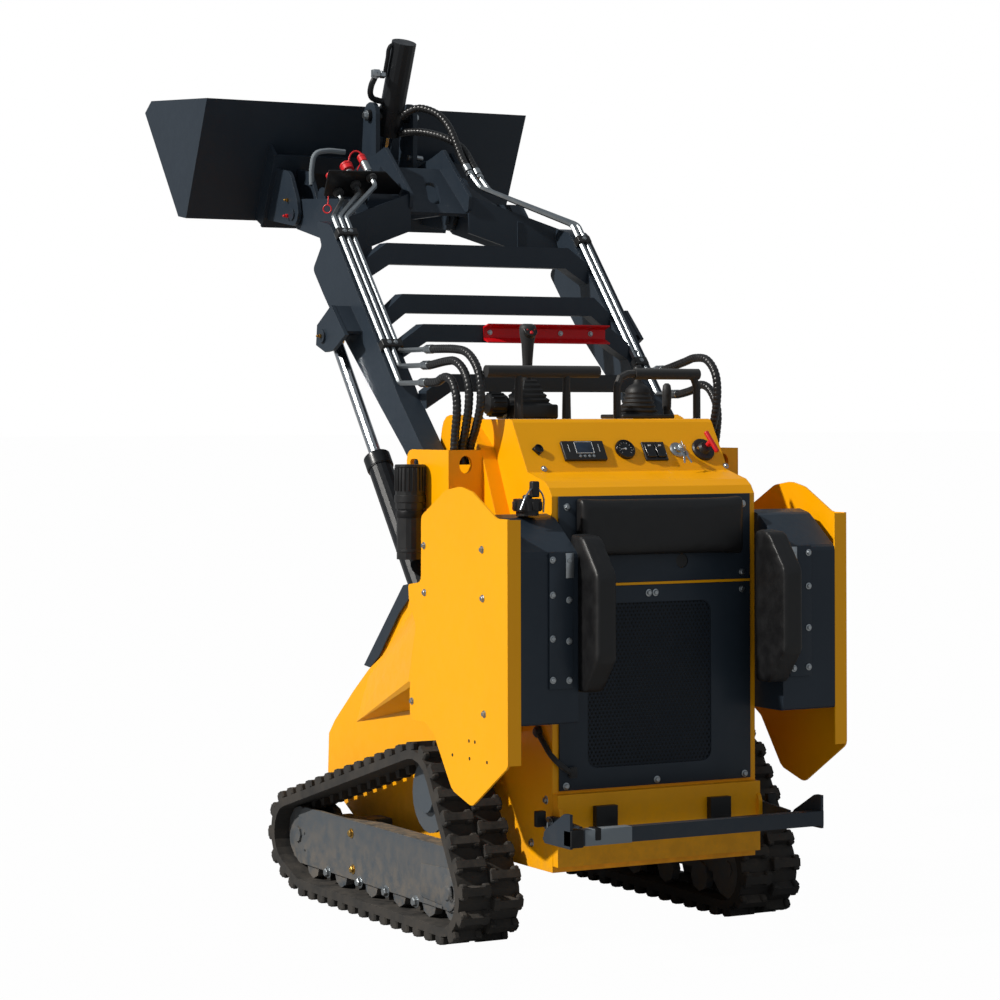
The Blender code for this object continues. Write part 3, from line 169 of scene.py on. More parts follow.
# %% World, lamps and floor
PURE_WHITE = {"Color": (1, 1, 1, 1), "Strength": 1.0}
FLOOR_SIZE, FLOOR_DEPTH, FLOOR_GLOW = 400, 0.001, 0.985
world = bpy.data.worlds.new("pale_dome")
bpy.context.scene.world = world
world.use_nodes = True
sky = world.node_tree
sky.nodes.clear()
rays = add(sky, "LightPath")
seen = combined(sky, "MAXIMUM", rays.outputs["Is Camera Ray"], rays.outputs["Is Transmission Ray"])
dome = add(sky, "Background", {"Color": (0.86, 0.93, 1.0, 1), "Strength": 0.28})
white = add(sky, "Background", PURE_WHITE)
both = add(sky, "MixShader", {0: seen, 1: dome.outputs[0], 2: white.outputs[0]})
add(sky, "OutputWorld", {"Surface": both.outputs[0]})


def lamp(name, toward, energy, size_deg, colour):
    """A sun lamp that shines from a direction, with the blur of a broad source."""
    data = bpy.data.lights.new(name, "SUN")
    data.energy, data.angle, data.color = energy, math.radians(size_deg), colour
    made = linked(name, data)
    made.rotation_mode = "QUATERNION"
    made.rotation_quaternion = Vector(toward).to_track_quat("Z", "Y")


lamp("sun", (0.08, 0.80, 0.60), 3.5, 2.0, (1.0, 0.97, 0.92))
lamp("fill", (-0.9, -0.3, 0.5), 0.10, 60, (0.9, 0.95, 1.0))

bpy.ops.mesh.primitive_plane_add(size=FLOOR_SIZE, location=(0, 0, -FLOOR_DEPTH))
floor = bpy.context.object
floor.name = "floor"
floor_material, tree, floor_shader, _ = new_material("pale_floor")
wire(tree, floor_shader, {"Base Color": linear("#A0A0A0"), "Roughness": 0.9})
share = combined(tree, "MULTIPLY", add(tree, "LightPath").outputs["Is Camera Ray"], FLOOR_GLOW)
glow = add(tree, "Emission", PURE_WHITE)
floor_mix = add(tree, "MixShader", {0: share, 1: floor_shader.outputs[0], 2: glow.outputs[0]})
tree.links.new(floor_mix.outputs[0], tree.nodes["Material Output"].inputs["Surface"])
floor.data.materials.append(floor_material)
print("lamps:", len(bpy.data.lights))

# %% [markdown]
# The paints. Loader steel is sprayed with a two-pack enamel over primer. The spray leaves an orange
# peel of about 3 mm, the sheet below it is never quite flat, and dust settles on the low parts.
# A bevel node rounds every cut edge by 1.5 mm, as thick paint does. One function makes each paint
# with its own two close colours and its own dust.

# %% Sprayed enamel
PAINT_ROUNDING, FINE_ROUNDING = 0.0015, 0.0008
GROUND = 0.02


def enamel(name, base, worn, dust, roughness, dust_top, dust_share, ledge_dust=0.0):
    """Paint on steel with broad colour drift, fine peel, soft edges and dust near the ground."""
    made, tree, shader, place = new_material(name)
    patchy = mapped(tree, noise(tree, place, 2.2, 5.0, 0.6), 0.42, 0.70, end=0.55)
    coat = mixed(tree, patchy, linear(base), linear(worn))
    height = z_of(tree, place)
    low = mapped(tree, height, dust_top, GROUND, end=dust_share)
    facing = z_of(tree, add(tree, "NewGeometry").outputs["Normal"])
    level = mapped(tree, facing, 0.80, 0.98, end=ledge_dust)
    lying = combined(tree, "MULTIPLY", level, mapped(tree, height, 0.45, 0.35))
    speck = mapped(tree, noise(tree, place, 26.0, 8.0, 0.7), 0.34, 0.60)
    dirty = combined(tree, "MULTIPLY", combined(tree, "MAXIMUM", low, lying), speck)
    matt = mapped(tree, speck, 0.0, 1.0, roughness - 0.05, roughness + 0.10)
    rounding = add(tree, "Bevel", {"Radius": PAINT_ROUNDING}, samples=4).outputs[0]
    wavy = relief(tree, noise(tree, place, 5.0, 1.0), 0.004, 0.35, rounding)
    wire(tree, shader, {
        "Base Color": mixed(tree, dirty, coat, linear(dust)),
        "Roughness": combined(tree, "ADD", matt, dirty),
        "Normal": relief(tree, noise(tree, place, 330.0, 2.0), 0.0002, 0.35, wavy),
        "Coat Weight": 0.05,
        "Coat Roughness": 0.18,
        "Specular IOR Level": 0.25,
    })
    return made


yellow_enamel = enamel("yellow_enamel", "#FFB000", "#FBA800", "#8A6A45", 0.36, 0.45, 0.45)
slate_enamel = enamel("slate_enamel", "#28313B", "#2F3943", "#6E675D", 0.38, 0.40, 0.40)
frame_enamel = enamel("frame_grey_enamel", "#474E55", "#4E555B", "#8B7B66", 0.42, 0.34, 0.45, 0.95)
cylinder_enamel = enamel("cylinder_black_enamel", "#1B1D20", "#222427", "#5A5349", 0.30, 0.30, 0.30)
red_enamel = enamel("red_enamel", "#D0101A", "#C20E17", "#6A4030", 0.32, 0.10, 0.10)
bracket_enamel = enamel("bracket_black_enamel", "#141517", "#1A1B1D", "#4A443C", 0.42, 0.36, 0.35)
pale_grey_enamel = enamel("pale_grey_enamel", "#7D858B", "#737B81", "#8B8478", 0.40, 0.30, 0.20)
print("enamels made:", len([made for made in bpy.data.materials if "enamel" in made.name]))

# %% [markdown]
# The other finishes. Plated steel, moulded plastic and rubber differ in how rough they are, in how
# fine their grain is and in how much dust they hold, so one function takes those as values. The
# grain is given in millimetres, such as 1 mm for a moulding texture and 2 mm for vinyl.


# %% Plated, moulded and rubber finishes
def plain_finish(
    name, base, second, roughness, grain_mm, depth, metallic=0.0, dust=None, most_dust=0.0, sheen=0.0
):
    """A finish with two close colours, an even grain of a real size and, if wanted, dust on top."""
    made, tree, shader, place = new_material(name)
    cloud = mapped(tree, noise(tree, place, 30.0, 4.0, 0.6), 0.35, 0.65)
    colour = mixed(tree, cloud, linear(base), linear(second))
    rough = mapped(tree, cloud, 0.0, 1.0, roughness, roughness + 0.10)
    if dust:
        facing = z_of(tree, add(tree, "NewGeometry").outputs["Normal"])
        patch = mapped(tree, noise(tree, place, 14.0, 9.0, 0.75), 0.40, 0.62, end=most_dust)
        amount = combined(tree, "MULTIPLY", patch, mapped(tree, facing, -0.6, 0.9, start=0.25))
        colour = mixed(tree, amount, colour, linear(dust))
        rough = combined(tree, "ADD", rough, amount)
    rounding = add(tree, "Bevel", {"Radius": FINE_ROUNDING}, samples=4).outputs[0]
    grain = add(tree, "TexVoronoi", {"Vector": place, "Scale": 1000 / grain_mm}, feature="SMOOTH_F1")
    wire(tree, shader, {
        "Base Color": colour,
        "Roughness": rough,
        "Normal": relief(tree, grain.outputs["Distance"], depth, 0.5, rounding),
        "Metallic": metallic,
        "Sheen Weight": sheen,
    })
    return made


zinc_plate = plain_finish("zinc_plated_steel", "#B4B9BC", "#A4AAAE", 0.30, 9.0, 0.00001, metallic=1.0)
gold_zinc = plain_finish("yellow_passivated_steel", "#C9A55A", "#B08A45", 0.30, 4.0, 0.00004, metallic=1.0)
hard_chrome = plain_finish("hard_chrome_plate", "#D5D8DC", "#CDD1D5", 0.14, 30.0, 0.000002, metallic=1.0)
brass = plain_finish("brass", "#C79A4C", "#A97E3B", 0.28, 4.0, 0.00003, metallic=1.0)
black_oxide = plain_finish("black_oxide_steel", "#1A1A1B", "#262627", 0.38, 3.0, 0.00004, metallic=0.6)
moulded_black = plain_finish("moulded_black_plastic", "#151516", "#1C1C1D", 0.42, 1.0, 0.00010)
gloss_black = plain_finish("gloss_black_plastic", "#0E0F11", "#131417", 0.16, 6.0, 0.00001)
grip_rubber = plain_finish("soft_grip_rubber", "#171718", "#1E1E1F", 0.55, 1.2, 0.00012, sheen=0.15)
boot_rubber = plain_finish("bellows_rubber", "#141415", "#1B1B1C", 0.50, 1.5, 0.00006)
vinyl = plain_finish("padding_vinyl", "#08080A", "#0D0D0F", 0.44, 2.0, 0.00015)
guard_plastic = plain_finish("spiral_hose_guard", "#161617", "#1F1F20", 0.30, 3.0, 0.00003)
track_rubber = plain_finish(
    "track_rubber", "#201F1E", "#2B2927", 0.70, 3.0, 0.00030, dust="#665E55", most_dust=0.42
)
red_plastic = plain_finish("red_dust_cap_plastic", "#D81F26", "#C9181F", 0.34, 2.0, 0.00004)
screen_glass = plain_finish("dark_display_glass", "#1A2838", "#223246", 0.06, 20.0, 0.00001)
pale_mark = plain_finish("pale_printed_mark", "#C9CDD0", "#B9BDC0", 0.45, 3.0, 0.00002)
print("finishes made:", len(bpy.data.materials))

# %% [markdown]
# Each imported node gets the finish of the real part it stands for. The lift rods are hard chrome,
# the pipes on the arms are zinc plated, and what the boots touch is moulded rubber.

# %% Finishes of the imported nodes
FINISHES = {
    yellow_enamel: ["chassis", "console", "tower_left", "tower_right", "wing_left", "wing_right"],
    slate_enamel: [
        "hood", "side_tank_left", "side_tank_right", "platform", "arm_frame", "hitch", "bucket", "rear_panel",
    ],
    cylinder_enamel: ["lift_barrel_left", "lift_barrel_right", "tilt_barrel"],
    frame_enamel: ["track_frame_left", "track_frame_right", "sprocket_left", "sprocket_right", "engine"],
    track_rubber: ["track_left", "track_right"],
    vinyl: ["back_pad", "knee_pad_left", "knee_pad_right"],
    moulded_black: ["step_block_left", "step_block_right", "document_tube", "filler_cap", "horn"],
    grip_rubber: ["joystick_left", "joystick_right", "hand_bar", "hand_loop", "throttle_lever"],
    zinc_plate: ["arm_pipes_left", "arm_pipes_right"],
    red_enamel: ["red_channel"],
    guard_plastic: ["hoses_left", "hoses_right", "tilt_hoses"],
    hard_chrome: ["lift_rod_left", "lift_rod_right", "tilt_rod"],
    bracket_enamel: ["couplers"],
}
for material, names in FINISHES.items():
    for name in names:
        nodes[name].data.materials.clear()
        nodes[name].data.materials.append(material)
bare = [name for name in nodes if name not in sum(FINISHES.values(), [])]
print("nodes without a finish:", bare)

# %% [markdown]
# Modelling helpers. Most fittings on a machine are turned on a lathe or sawn from bar, so two
# helpers cover them. The first draws a round piece ring by ring, by extrude and resize. The second
# rounds a bar's edges by bevel. All sizes are in metres, and x is measured as in the part's source,
# from the rear edge of the side wings, so that places can be read off the same drawing.

# %% Modelling helpers
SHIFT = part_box("rear_panel")[0].x - 0.131
BOTH_SIDES = (("left", 1), ("right", -1))
bpy.context.tool_settings.mesh_select_mode = (False, False, True)


def at(x, y, z):
    """A place in the frame from the drawing's x, y and z."""
    return Vector((x + SHIFT, y, z))


def only(*objs):
    """Selects these objects alone, the first of them active."""
    bpy.ops.object.select_all(action="DESELECT")
    for obj in objs:
        obj.select_set(True)
    bpy.context.view_layer.objects.active = objs[0]


def settle(obj):
    """Brings a piece's place, turn and scale into its mesh."""
    only(obj)
    bpy.ops.object.transform_apply(location=True, rotation=True, scale=True)
    return obj


def edit_all():
    """Opens the active mesh for editing with everything selected."""
    bpy.ops.object.mode_set(mode="EDIT")
    bpy.ops.mesh.select_all(action="SELECT")


def faces_out(obj):
    """Turns all faces of the active mesh outwards and closes it."""
    edit_all()
    bpy.ops.mesh.normals_make_consistent(inside=False)
    bpy.ops.object.mode_set(mode="OBJECT")
    return obj


def applied(obj, kind, **settings):
    """Adds a modifier with these settings and applies it."""
    only(obj)
    made = obj.modifiers.new(kind.lower(), kind)
    for name, value in settings.items():
        setattr(made, name, value)
    bpy.ops.object.modifier_apply(modifier=made.name)
    return obj


def turned(profile, sides=20):
    """A round piece up the z axis: a disc, and one extruded and resized ring for each (radius, height)."""
    (radius, height), *rings = profile
    bpy.ops.mesh.primitive_circle_add(vertices=sides, radius=radius, fill_type="NGON")
    obj = bpy.context.object
    bpy.ops.object.mode_set(mode="EDIT")
    bpy.ops.transform.translate(value=(0, 0, height))
    for wide, high in rings:
        bpy.ops.mesh.extrude_region_move(TRANSFORM_OT_translate={"value": (0, 0, high - height)})
        bpy.ops.transform.resize(value=(wide / radius, wide / radius, 1), center_override=(0, 0, high))
        radius, height = wide, high
    return faces_out(obj)


def bar(low, high, bevel=0.001, segments=2):
    """A bar between two corners, its edges rounded."""
    low, high = Vector(low), Vector(high)
    bpy.ops.mesh.primitive_cube_add(size=1, location=(low + high) / 2)
    obj = bpy.context.object
    obj.scale = high - low
    settle(obj)
    edit_all()
    bpy.ops.mesh.bevel(offset=bevel, segments=segments, affect="EDGES")
    bpy.ops.object.mode_set(mode="OBJECT")
    return obj


def block(low, high, bevel=0.001, segments=2):
    """A bar between two corners given by the drawing's x, y and z."""
    return bar(at(*low), at(*high), bevel, segments)


def plate(outline, thickness, bevel=0.0008):
    """A flat piece of a closed outline of (x, y) points, as thick as asked, its edges rounded."""
    bpy.ops.mesh.primitive_circle_add(vertices=len(outline), radius=1, fill_type="NGON")
    obj = bpy.context.object
    for vertex, (across, up) in zip(obj.data.vertices, outline):
        vertex.co = (across, up, 0)
    edit_all()
    bpy.ops.mesh.extrude_region_move(TRANSFORM_OT_translate={"value": (0, 0, thickness)})
    return applied(faces_out(obj), "BEVEL", width=bevel, segments=2, limit_method="ANGLE")


def tube(points, radius, resolution=3, bends=6, placing=at):
    """A round wire or pipe through points, with smooth bends, as a closed mesh."""
    bpy.ops.curve.primitive_bezier_curve_add()
    obj = bpy.context.object
    spline = obj.data.splines[0]
    spline.bezier_points.add(len(points) - 2)
    for knot, point in zip(spline.bezier_points, points):
        knot.co = placing(*point)
        knot.handle_left_type = knot.handle_right_type = "AUTO"
    obj.data.resolution_u = bends
    obj.data.bevel_depth = radius
    obj.data.bevel_resolution = resolution
    obj.data.use_fill_caps = True
    only(obj)
    bpy.ops.object.convert(target="MESH")
    return settle(bpy.context.object)


def stand(obj, place, direction=(0, 0, 1), roll=0.0):
    """Sets a piece that was drawn up the z axis at a place, its axis along a direction."""
    turn = Vector(direction).to_track_quat("Z", "Y").to_matrix().to_4x4()
    obj.matrix_world = Matrix.Translation(place) @ turn @ Matrix.Rotation(roll, 4, "Z") @ obj.matrix_world
    return settle(obj)


def spun(obj, angle, place=(0, 0, 0)):
    """Turns a piece about the z axis and moves it."""
    obj.rotation_euler.z = angle
    obj.location = place
    return settle(obj)


def copy_of(obj):
    """A copy with its own mesh."""
    made = obj.copy()
    made.data = obj.data.copy()
    bpy.context.scene.collection.objects.link(made)
    return made


def joined(pieces):
    """Several pieces as one."""
    only(*pieces)
    if len(pieces) > 1:
        bpy.ops.object.join()
    return bpy.context.object


def finish(obj, name, material, body="machine", smooth=32):
    """Names a piece, gives it its finish and smooth shading, and lets it ride on its body."""
    settle(obj)
    bpy.ops.object.shade_smooth_by_angle(angle=math.radians(smooth))
    obj.data.materials.clear()
    obj.data.materials.append(material)
    obj.name = obj.data.name = name
    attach(obj, body)
    return obj


def mirrored(obj):
    """A copy on the machine's other side, its faces turned out again."""
    made = copy_of(obj)
    made.scale = (1, -1, 1)
    return faces_out(settle(made))


def on_side(obj, sign):
    """A piece drawn on the left: itself there, or its mirror image instead of it on the right."""
    if sign > 0:
        return obj
    made = mirrored(obj)
    bpy.data.objects.remove(obj, do_unlink=True)
    return made


print("drawing's x starts at", round(SHIFT, 4))

# %% [markdown]
# Bolts, nipples and dark discs of painted shade in drilled holes. A bolt is a washer with a hexagon head
# on it. It is modelled once for each set and copied to every place in the table, and the copies of one
# set become one piece. A row with both sides is given for the left and mirrored to the right.


# %% Bolts and nipples
def bolt(radius):
    """A washer with a hexagon head, standing on z = 0."""
    washer = turned([(radius * 1.9, 0), (radius * 1.9, 0.0014), (radius * 1.75, 0.0018)], 16)
    head = [(radius * 1.35, 0.0016), (radius * 1.35, radius * 1.05), (radius * 1.1, radius * 1.3)]
    return joined([washer, turned(head, 6)])


def nipple(radius):
    """A grease nipple: a hexagon foot, a neck and a ball end."""
    foot = turned([(radius, 0), (radius, radius)], 6)
    ball = [(0.55, 1), (0.5, 1.6), (0.7, 2.1), (0.3, 2.6)]
    return joined([foot, turned([(radius * wide, radius * high) for wide, high in ball], 10)])


def hole_shade_disc(radius):
    """A dark disc of painted shade for a drilled hole's mouth, just proud of the plate."""
    return turned([(radius, -0.0005), (radius * 0.94, 0.0004), (radius * 0.7, 0.0002)], 14)


WING_Y, FRAME_Y, PANEL_FACE, TANK_FACE = 0.525, 0.492, 0.131, -0.006
LEFT, REARWARD = (0, 1, 0), (-1, 0, 0)
LEFT_ONLY, UNSIDED = BOTH_SIDES[:1], (("", 1),)
wing_bolts = [(0.467, 1.054), (0.464, 0.928), (0.540, 0.6305), (0.137, 1.056), (0.134, 0.930), (0.127, 0.632)]
wing_holes = [(0.211, 0.555), (0.178, 0.555), (0.304, 0.509), (0.208, 0.509), (0.112, 0.509)]
roller_bolts = [(1.145, 0.081), (0.935, 0.082), (0.765, 0.080), (0.583, 0.079)]
gold_bolts = [(0.990, 0.2135), (0.980, 0.112)]
flange_bolts = [(0.172, 0.316, 0.392), (0.250, 0.316, 0.270)]
channel_bolts = [(0.8885, y, 1.643) for y in (0.095, -0.14, -0.241)]
frame_holes = [(1.310, 0.172), (1.307, 0.123), (0.427, 0.145), (0.426, 0.086)]
strip_bolts = [(0.348, 1.029), (0.348, 0.928), (0.348, 0.8225), (0.348, 0.722)]
strip_bolts += [(0.396, 1.032), (0.396, 0.942), (0.396, 0.830), (0.396, 0.724)]
panel_bolts = [(0.024, 0.9295), (0.003, 0.9297), (-0.2727, 0.977), (-0.2725, 0.931), (0.0, 0.431)]
panel_bolts += [(-0.279, 0.430), (0.2795, 0.430), (0.275, 1.162), (-0.275, 1.162)]


def on_plane(y, places):
    """Places (x, z) on an upright plane at the machine's side."""
    return [(x, y, z) for x, z in places]


def on_back(x, places):
    """Places (y, z) on an upright plane at the machine's back."""
    return [(x, y, z) for y, z in places]


# name, sides, body, finish, model, size, direction and places of each set of small fittings
FITTINGS = [
    ("wing_bolts_", BOTH_SIDES, "machine", zinc_plate, bolt, 0.0052, LEFT, on_plane(WING_Y, wing_bolts)),
    # Dark discs of painted shade in the wing's drilled holes.
    ("wing_hole_shade_", BOTH_SIDES, "machine", black_oxide, hole_shade_disc, 0.0048, LEFT, on_plane(WING_Y, wing_holes)),
    ("roller_bolts_", BOTH_SIDES, "machine", zinc_plate, bolt, 0.0095, LEFT, on_plane(FRAME_Y, roller_bolts)),
    ("frame_gold_bolts_", BOTH_SIDES, "machine", gold_zinc, bolt, 0.0075, LEFT, on_plane(FRAME_Y, gold_bolts)),
    # Dark discs of painted shade in the frame's drilled holes.
    ("frame_hole_shade_", LEFT_ONLY, "machine", black_oxide, hole_shade_disc, 0.004, LEFT, on_plane(FRAME_Y, frame_holes)),
    ("strip_bolts_", BOTH_SIDES, "machine", zinc_plate, bolt, 0.0048, REARWARD, on_back(TANK_FACE, strip_bolts)),
    ("panel_bolts", UNSIDED, "machine", zinc_plate, bolt, 0.0052, REARWARD, on_back(PANEL_FACE, panel_bolts)),
    ("platform_bolt_", BOTH_SIDES, "machine", zinc_plate, bolt, 0.0105, LEFT, [(0.130, 0.331, 0.335)]),
    ("flange_bolts", UNSIDED, "machine", zinc_plate, bolt, 0.0062, LEFT, flange_bolts),
    ("trunnion_bolt_", BOTH_SIDES, "tilt_barrel_body", zinc_plate, bolt, 0.0085, LEFT, [(1.7215, 0.085, 2.350)]),
    ("lift_pin_nipple_", BOTH_SIDES, "arms", brass, nipple, 0.006, LEFT, [(1.160, 0.506, 1.635)]),
    ("hitch_nipple_", BOTH_SIDES, "hitch_body", brass, nipple, 0.006, LEFT, [(1.8126, 0.315, 2.0812)]),
    ("hitch_cap_", LEFT_ONLY, "hitch_body", red_plastic, nipple, 0.0065, LEFT, [(1.8052, 0.320, 2.0305)]),
    ("channel_bolts", UNSIDED, "arms", zinc_plate, bolt, 0.0042, REARWARD, channel_bolts),
]
for name, sides, body, material, model, size, (ahead, outward, up), places in FITTINGS:
    for side, sign in sides:
        first = model(size)
        copies = [copy_of(first) for _ in places[1:]]
        for number, (piece, (x, y, z)) in enumerate(zip([first, *copies], places)):
            stand(piece, at(x, sign * y, z), (ahead, sign * outward, up), roll=number * 0.7)
        finish(joined([first, *copies]), name + side, material, body)
print("sets of small fittings:", sum(len(row[1]) for row in FITTINGS))

# %% [markdown]
# The rear panel. Two sheet steel plates close the machine's back, with a strip of the yellow body
# showing between them. The lower plate has a window of punched sheet, with holes of 7 mm on a
# pitch of 11.8 mm. One pair of hexagon rings is modelled and two Array modifiers repeat it. Its
# ragged edge lies hidden in the thickness of the plate, which a rounded block has cut open.

# %% Rear panel
HOLE_PITCH, HOLE_WALL, SHEET = 0.0118, 0.0024, 0.0015
ROW_PITCH = HOLE_PITCH * math.sin(math.pi / 3)
WINDOW_Y, WINDOW_Z = (-0.172, 0.213), (0.473, 0.905)
NOTCH_Y, NOTCH_Z = -0.081, 1.012


def hole_ring(y, z):
    """One hexagon of sheet with its punched hole, standing in the panel's plane."""
    bpy.ops.mesh.primitive_circle_add(vertices=6, radius=HOLE_PITCH / math.sqrt(3), fill_type="NGON")
    obj = bpy.context.object
    edit_all()
    bpy.ops.mesh.inset(thickness=HOLE_WALL)
    bpy.ops.mesh.delete(type="FACE")
    bpy.ops.object.mode_set(mode="OBJECT")
    return stand(obj, at(PANEL_FACE + 0.0018, y, z), REARWARD, roll=math.radians(30))


rings = [hole_ring(WINDOW_Y[0] - HOLE_PITCH, WINDOW_Z[0] - ROW_PITCH)]
rings.append(hole_ring(WINDOW_Y[0] - HOLE_PITCH / 2, WINDOW_Z[0]))
punched = joined(rings)
columns = math.ceil((WINDOW_Y[1] - WINDOW_Y[0]) / HOLE_PITCH) + 2
rows = math.ceil((WINDOW_Z[1] - WINDOW_Z[0]) / ROW_PITCH / 2) + 1
for count, step in ((columns, (0, HOLE_PITCH, 0)), (rows, (0, 0, 2 * ROW_PITCH))):
    applied(
        punched, "ARRAY", count=count, use_relative_offset=False, use_constant_offset=True,
        constant_offset_displace=step, use_merge_vertices=True, merge_threshold=0.0001,
    )
applied(punched, "SOLIDIFY", thickness=SHEET)
finish(punched, "grille_sheet", slate_enamel)
print("grille sheet faces:", len(punched.data.polygons))

upper_plate = block((PANEL_FACE, -0.299, 0.959), (0.137, 0.299, 1.190), 0.0012)
lower_plate = block((PANEL_FACE, -0.299, 0.418), (0.137, 0.299, 0.951), 0.0012)
cutter = block((0.10, WINDOW_Y[0], WINDOW_Z[0]), (0.16, WINDOW_Y[1], WINDOW_Z[1]), 0.0290, 5)
cutter.scale = (3, 1, 1)
cutter.location.x = -2 * at(0.13, 0, 0).x
settle(cutter)
notch_place = at(PANEL_FACE, NOTCH_Y, NOTCH_Z)
bpy.ops.mesh.primitive_cylinder_add(
    vertices=24, radius=0.019, depth=0.1, location=notch_place, rotation=(0, math.pi / 2, 0)
)
notch = bpy.context.object
for target, tool in ((lower_plate, cutter), (upper_plate, notch)):
    applied(target, "BOOLEAN", operation="DIFFERENCE", object=tool)
    bpy.data.objects.remove(tool, do_unlink=True)
plates = joined([lower_plate, upper_plate])
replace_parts(finish(plates, "rear_panel_plates", slate_enamel, smooth=25), "rear_panel")
strip = block((0.1316, -0.298, 0.9515), (0.1368, 0.298, 0.9585), 0.0005)
finish(strip, "panel_strip", yellow_enamel)
print("window:", columns, "by", rows * 2, "holes")

# %% [markdown]
# The rubber latch that holds the lower plate shut. Its strap is a bent tube that runs from a knob on
# the body's side round the corner to a hook at the plate's lower left. Beside the panel, a strip
# with a plated tab covers the edge of each tank.

# %% Panel latch and side strips
STRAP = [(0.200, 0.3255, 0.567), (0.168, 0.3255, 0.542), (0.139, 0.3165, 0.509)]
STRAP += [(0.123, 0.291, 0.480), (0.121, 0.268, 0.466)]
KNOB = [(0.012, 0), (0.016, 0.004), (0.016, 0.012), (0.010, 0.018), (0.004, 0.019)]
strap = tube(STRAP, 0.0075)
knob = stand(turned(KNOB, 18), at(0.202, 0.3170, 0.569), LEFT)
hook = block((0.117, 0.252, 0.452), (0.130, 0.274, 0.480), 0.003)
finish(joined([strap, knob, hook]), "panel_latch", grip_rubber)
for side, sign in BOTH_SIDES:
    strip = on_side(block((TANK_FACE, 0.336, 0.700), (0.0005, 0.406, 1.052), 0.0015), sign)
    tab = on_side(block((-0.0085, 0.334, 0.984), (-0.005, 0.358, 1.049)), sign)
    finish(strip, "tank_strip_" + side, slate_enamel)
    finish(tab, "tank_tab_" + side, zinc_plate)
print("latch and strips made")

# %% [markdown]
# The pads. Each is foam under black vinyl, crowned by the foam's push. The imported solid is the
# pattern: its copy is merged, shrunk a little and remeshed, and Cloth with a little pressure lets
# it swell. The swelling is capped, so that a pad stays where its hard solid is.

# %% Cloth simulated pads
VOXEL, PRESSURE, CLOTH_FRAMES = 0.006, 4, 20


def padded_piece(node, cap):
    """A vinyl pad swollen from a CAD solid by at most cap metres."""
    pad = copy_of(nodes[node])
    pad.parent = None
    for key in list(pad.keys()):
        del pad[key]
    only(pad)
    edit_all()
    bpy.ops.mesh.remove_doubles(threshold=0.00001)
    faces_out(pad)
    low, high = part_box(node)
    centre, size = (low + high) / 2, high - low
    shrink = Vector([(length - cap) / length for length in size])
    for vertex in pad.data.vertices:
        vertex.co = centre + (vertex.co - centre) * shrink
    applied(pad, "REMESH", mode="VOXEL", voxel_size=VOXEL)
    start = [vertex.co.copy() for vertex in pad.data.vertices]
    cloth = pad.modifiers.new("vinyl", "CLOTH")
    cloth.settings.use_pressure = True
    cloth.settings.uniform_pressure_force = PRESSURE
    cloth.settings.effector_weights.gravity = 0
    cloth.settings.quality = 5
    for number in range(1, CLOTH_FRAMES + 1):
        bpy.context.scene.frame_set(number)
    bpy.ops.object.modifier_apply(modifier="vinyl")
    bpy.context.scene.frame_set(1)
    for vertex, before in zip(pad.data.vertices, start):
        move = vertex.co - before
        if move.length > cap:
            vertex.co = before + move.normalized() * cap
    applied(pad, "SMOOTH", iterations=2)
    applied(pad, "SUBSURF", levels=1, render_levels=1)
    finish(pad, node + "_vinyl", vinyl, smooth=60)
    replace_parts(pad, node)
    print(pad.name, "has", len(pad.data.polygons), "faces")


padded_piece("back_pad", 0.005)
padded_piece("knee_pad_left", 0.002)
padded_piece("knee_pad_right", 0.002)

# %% [markdown]
# The hydraulic hoses. Each is 24 mm across with its spiral guard. Rings are laid along a smooth line
# through given points, and swell where the guard's helix passes.

# %% Hose lines
ARM_BACK_LOW, ARM_BACK_HIGH = Vector((0.791, 1.455)), Vector((1.240, 1.965))
ARM_WAY = (ARM_BACK_HIGH - ARM_BACK_LOW).normalized()
PIPE_RISE = 0.014
HOSE_RADIUS, GUARD_PITCH = 0.0120, 0.0125


def pipe_height(distance):
    """The height of a pipe's foot at a distance up the beam's rear face."""
    return (ARM_BACK_LOW + ARM_WAY * distance + Vector((-ARM_WAY.y, ARM_WAY.x)) * PIPE_RISE).y


def smooth_line(points, step=0.0021):
    """Evenly spaced points on one smooth curve through the given ones."""
    ends = [points[0] * 2 - points[1], *points, points[-1] * 2 - points[-2]]
    line = []
    for before, a, b, after in zip(ends, ends[1:], ends[2:], ends[3:]):
        pieces = max(2, round((b - a).length / step))
        linear_part, square_part = b - before, before * 2 - a * 5 + b * 4 - after
        cube_part = a * 3 - before - b * 3 + after
        for number in range(pieces):
            t = number / pieces
            line.append(((a * 2) + linear_part * t + square_part * t * t + cube_part * t**3) / 2)
    return [*line, points[-1].copy()]


def length_of(line):
    """The length of a line of points."""
    return sum((b - a).length for a, b in zip(line, line[1:]))


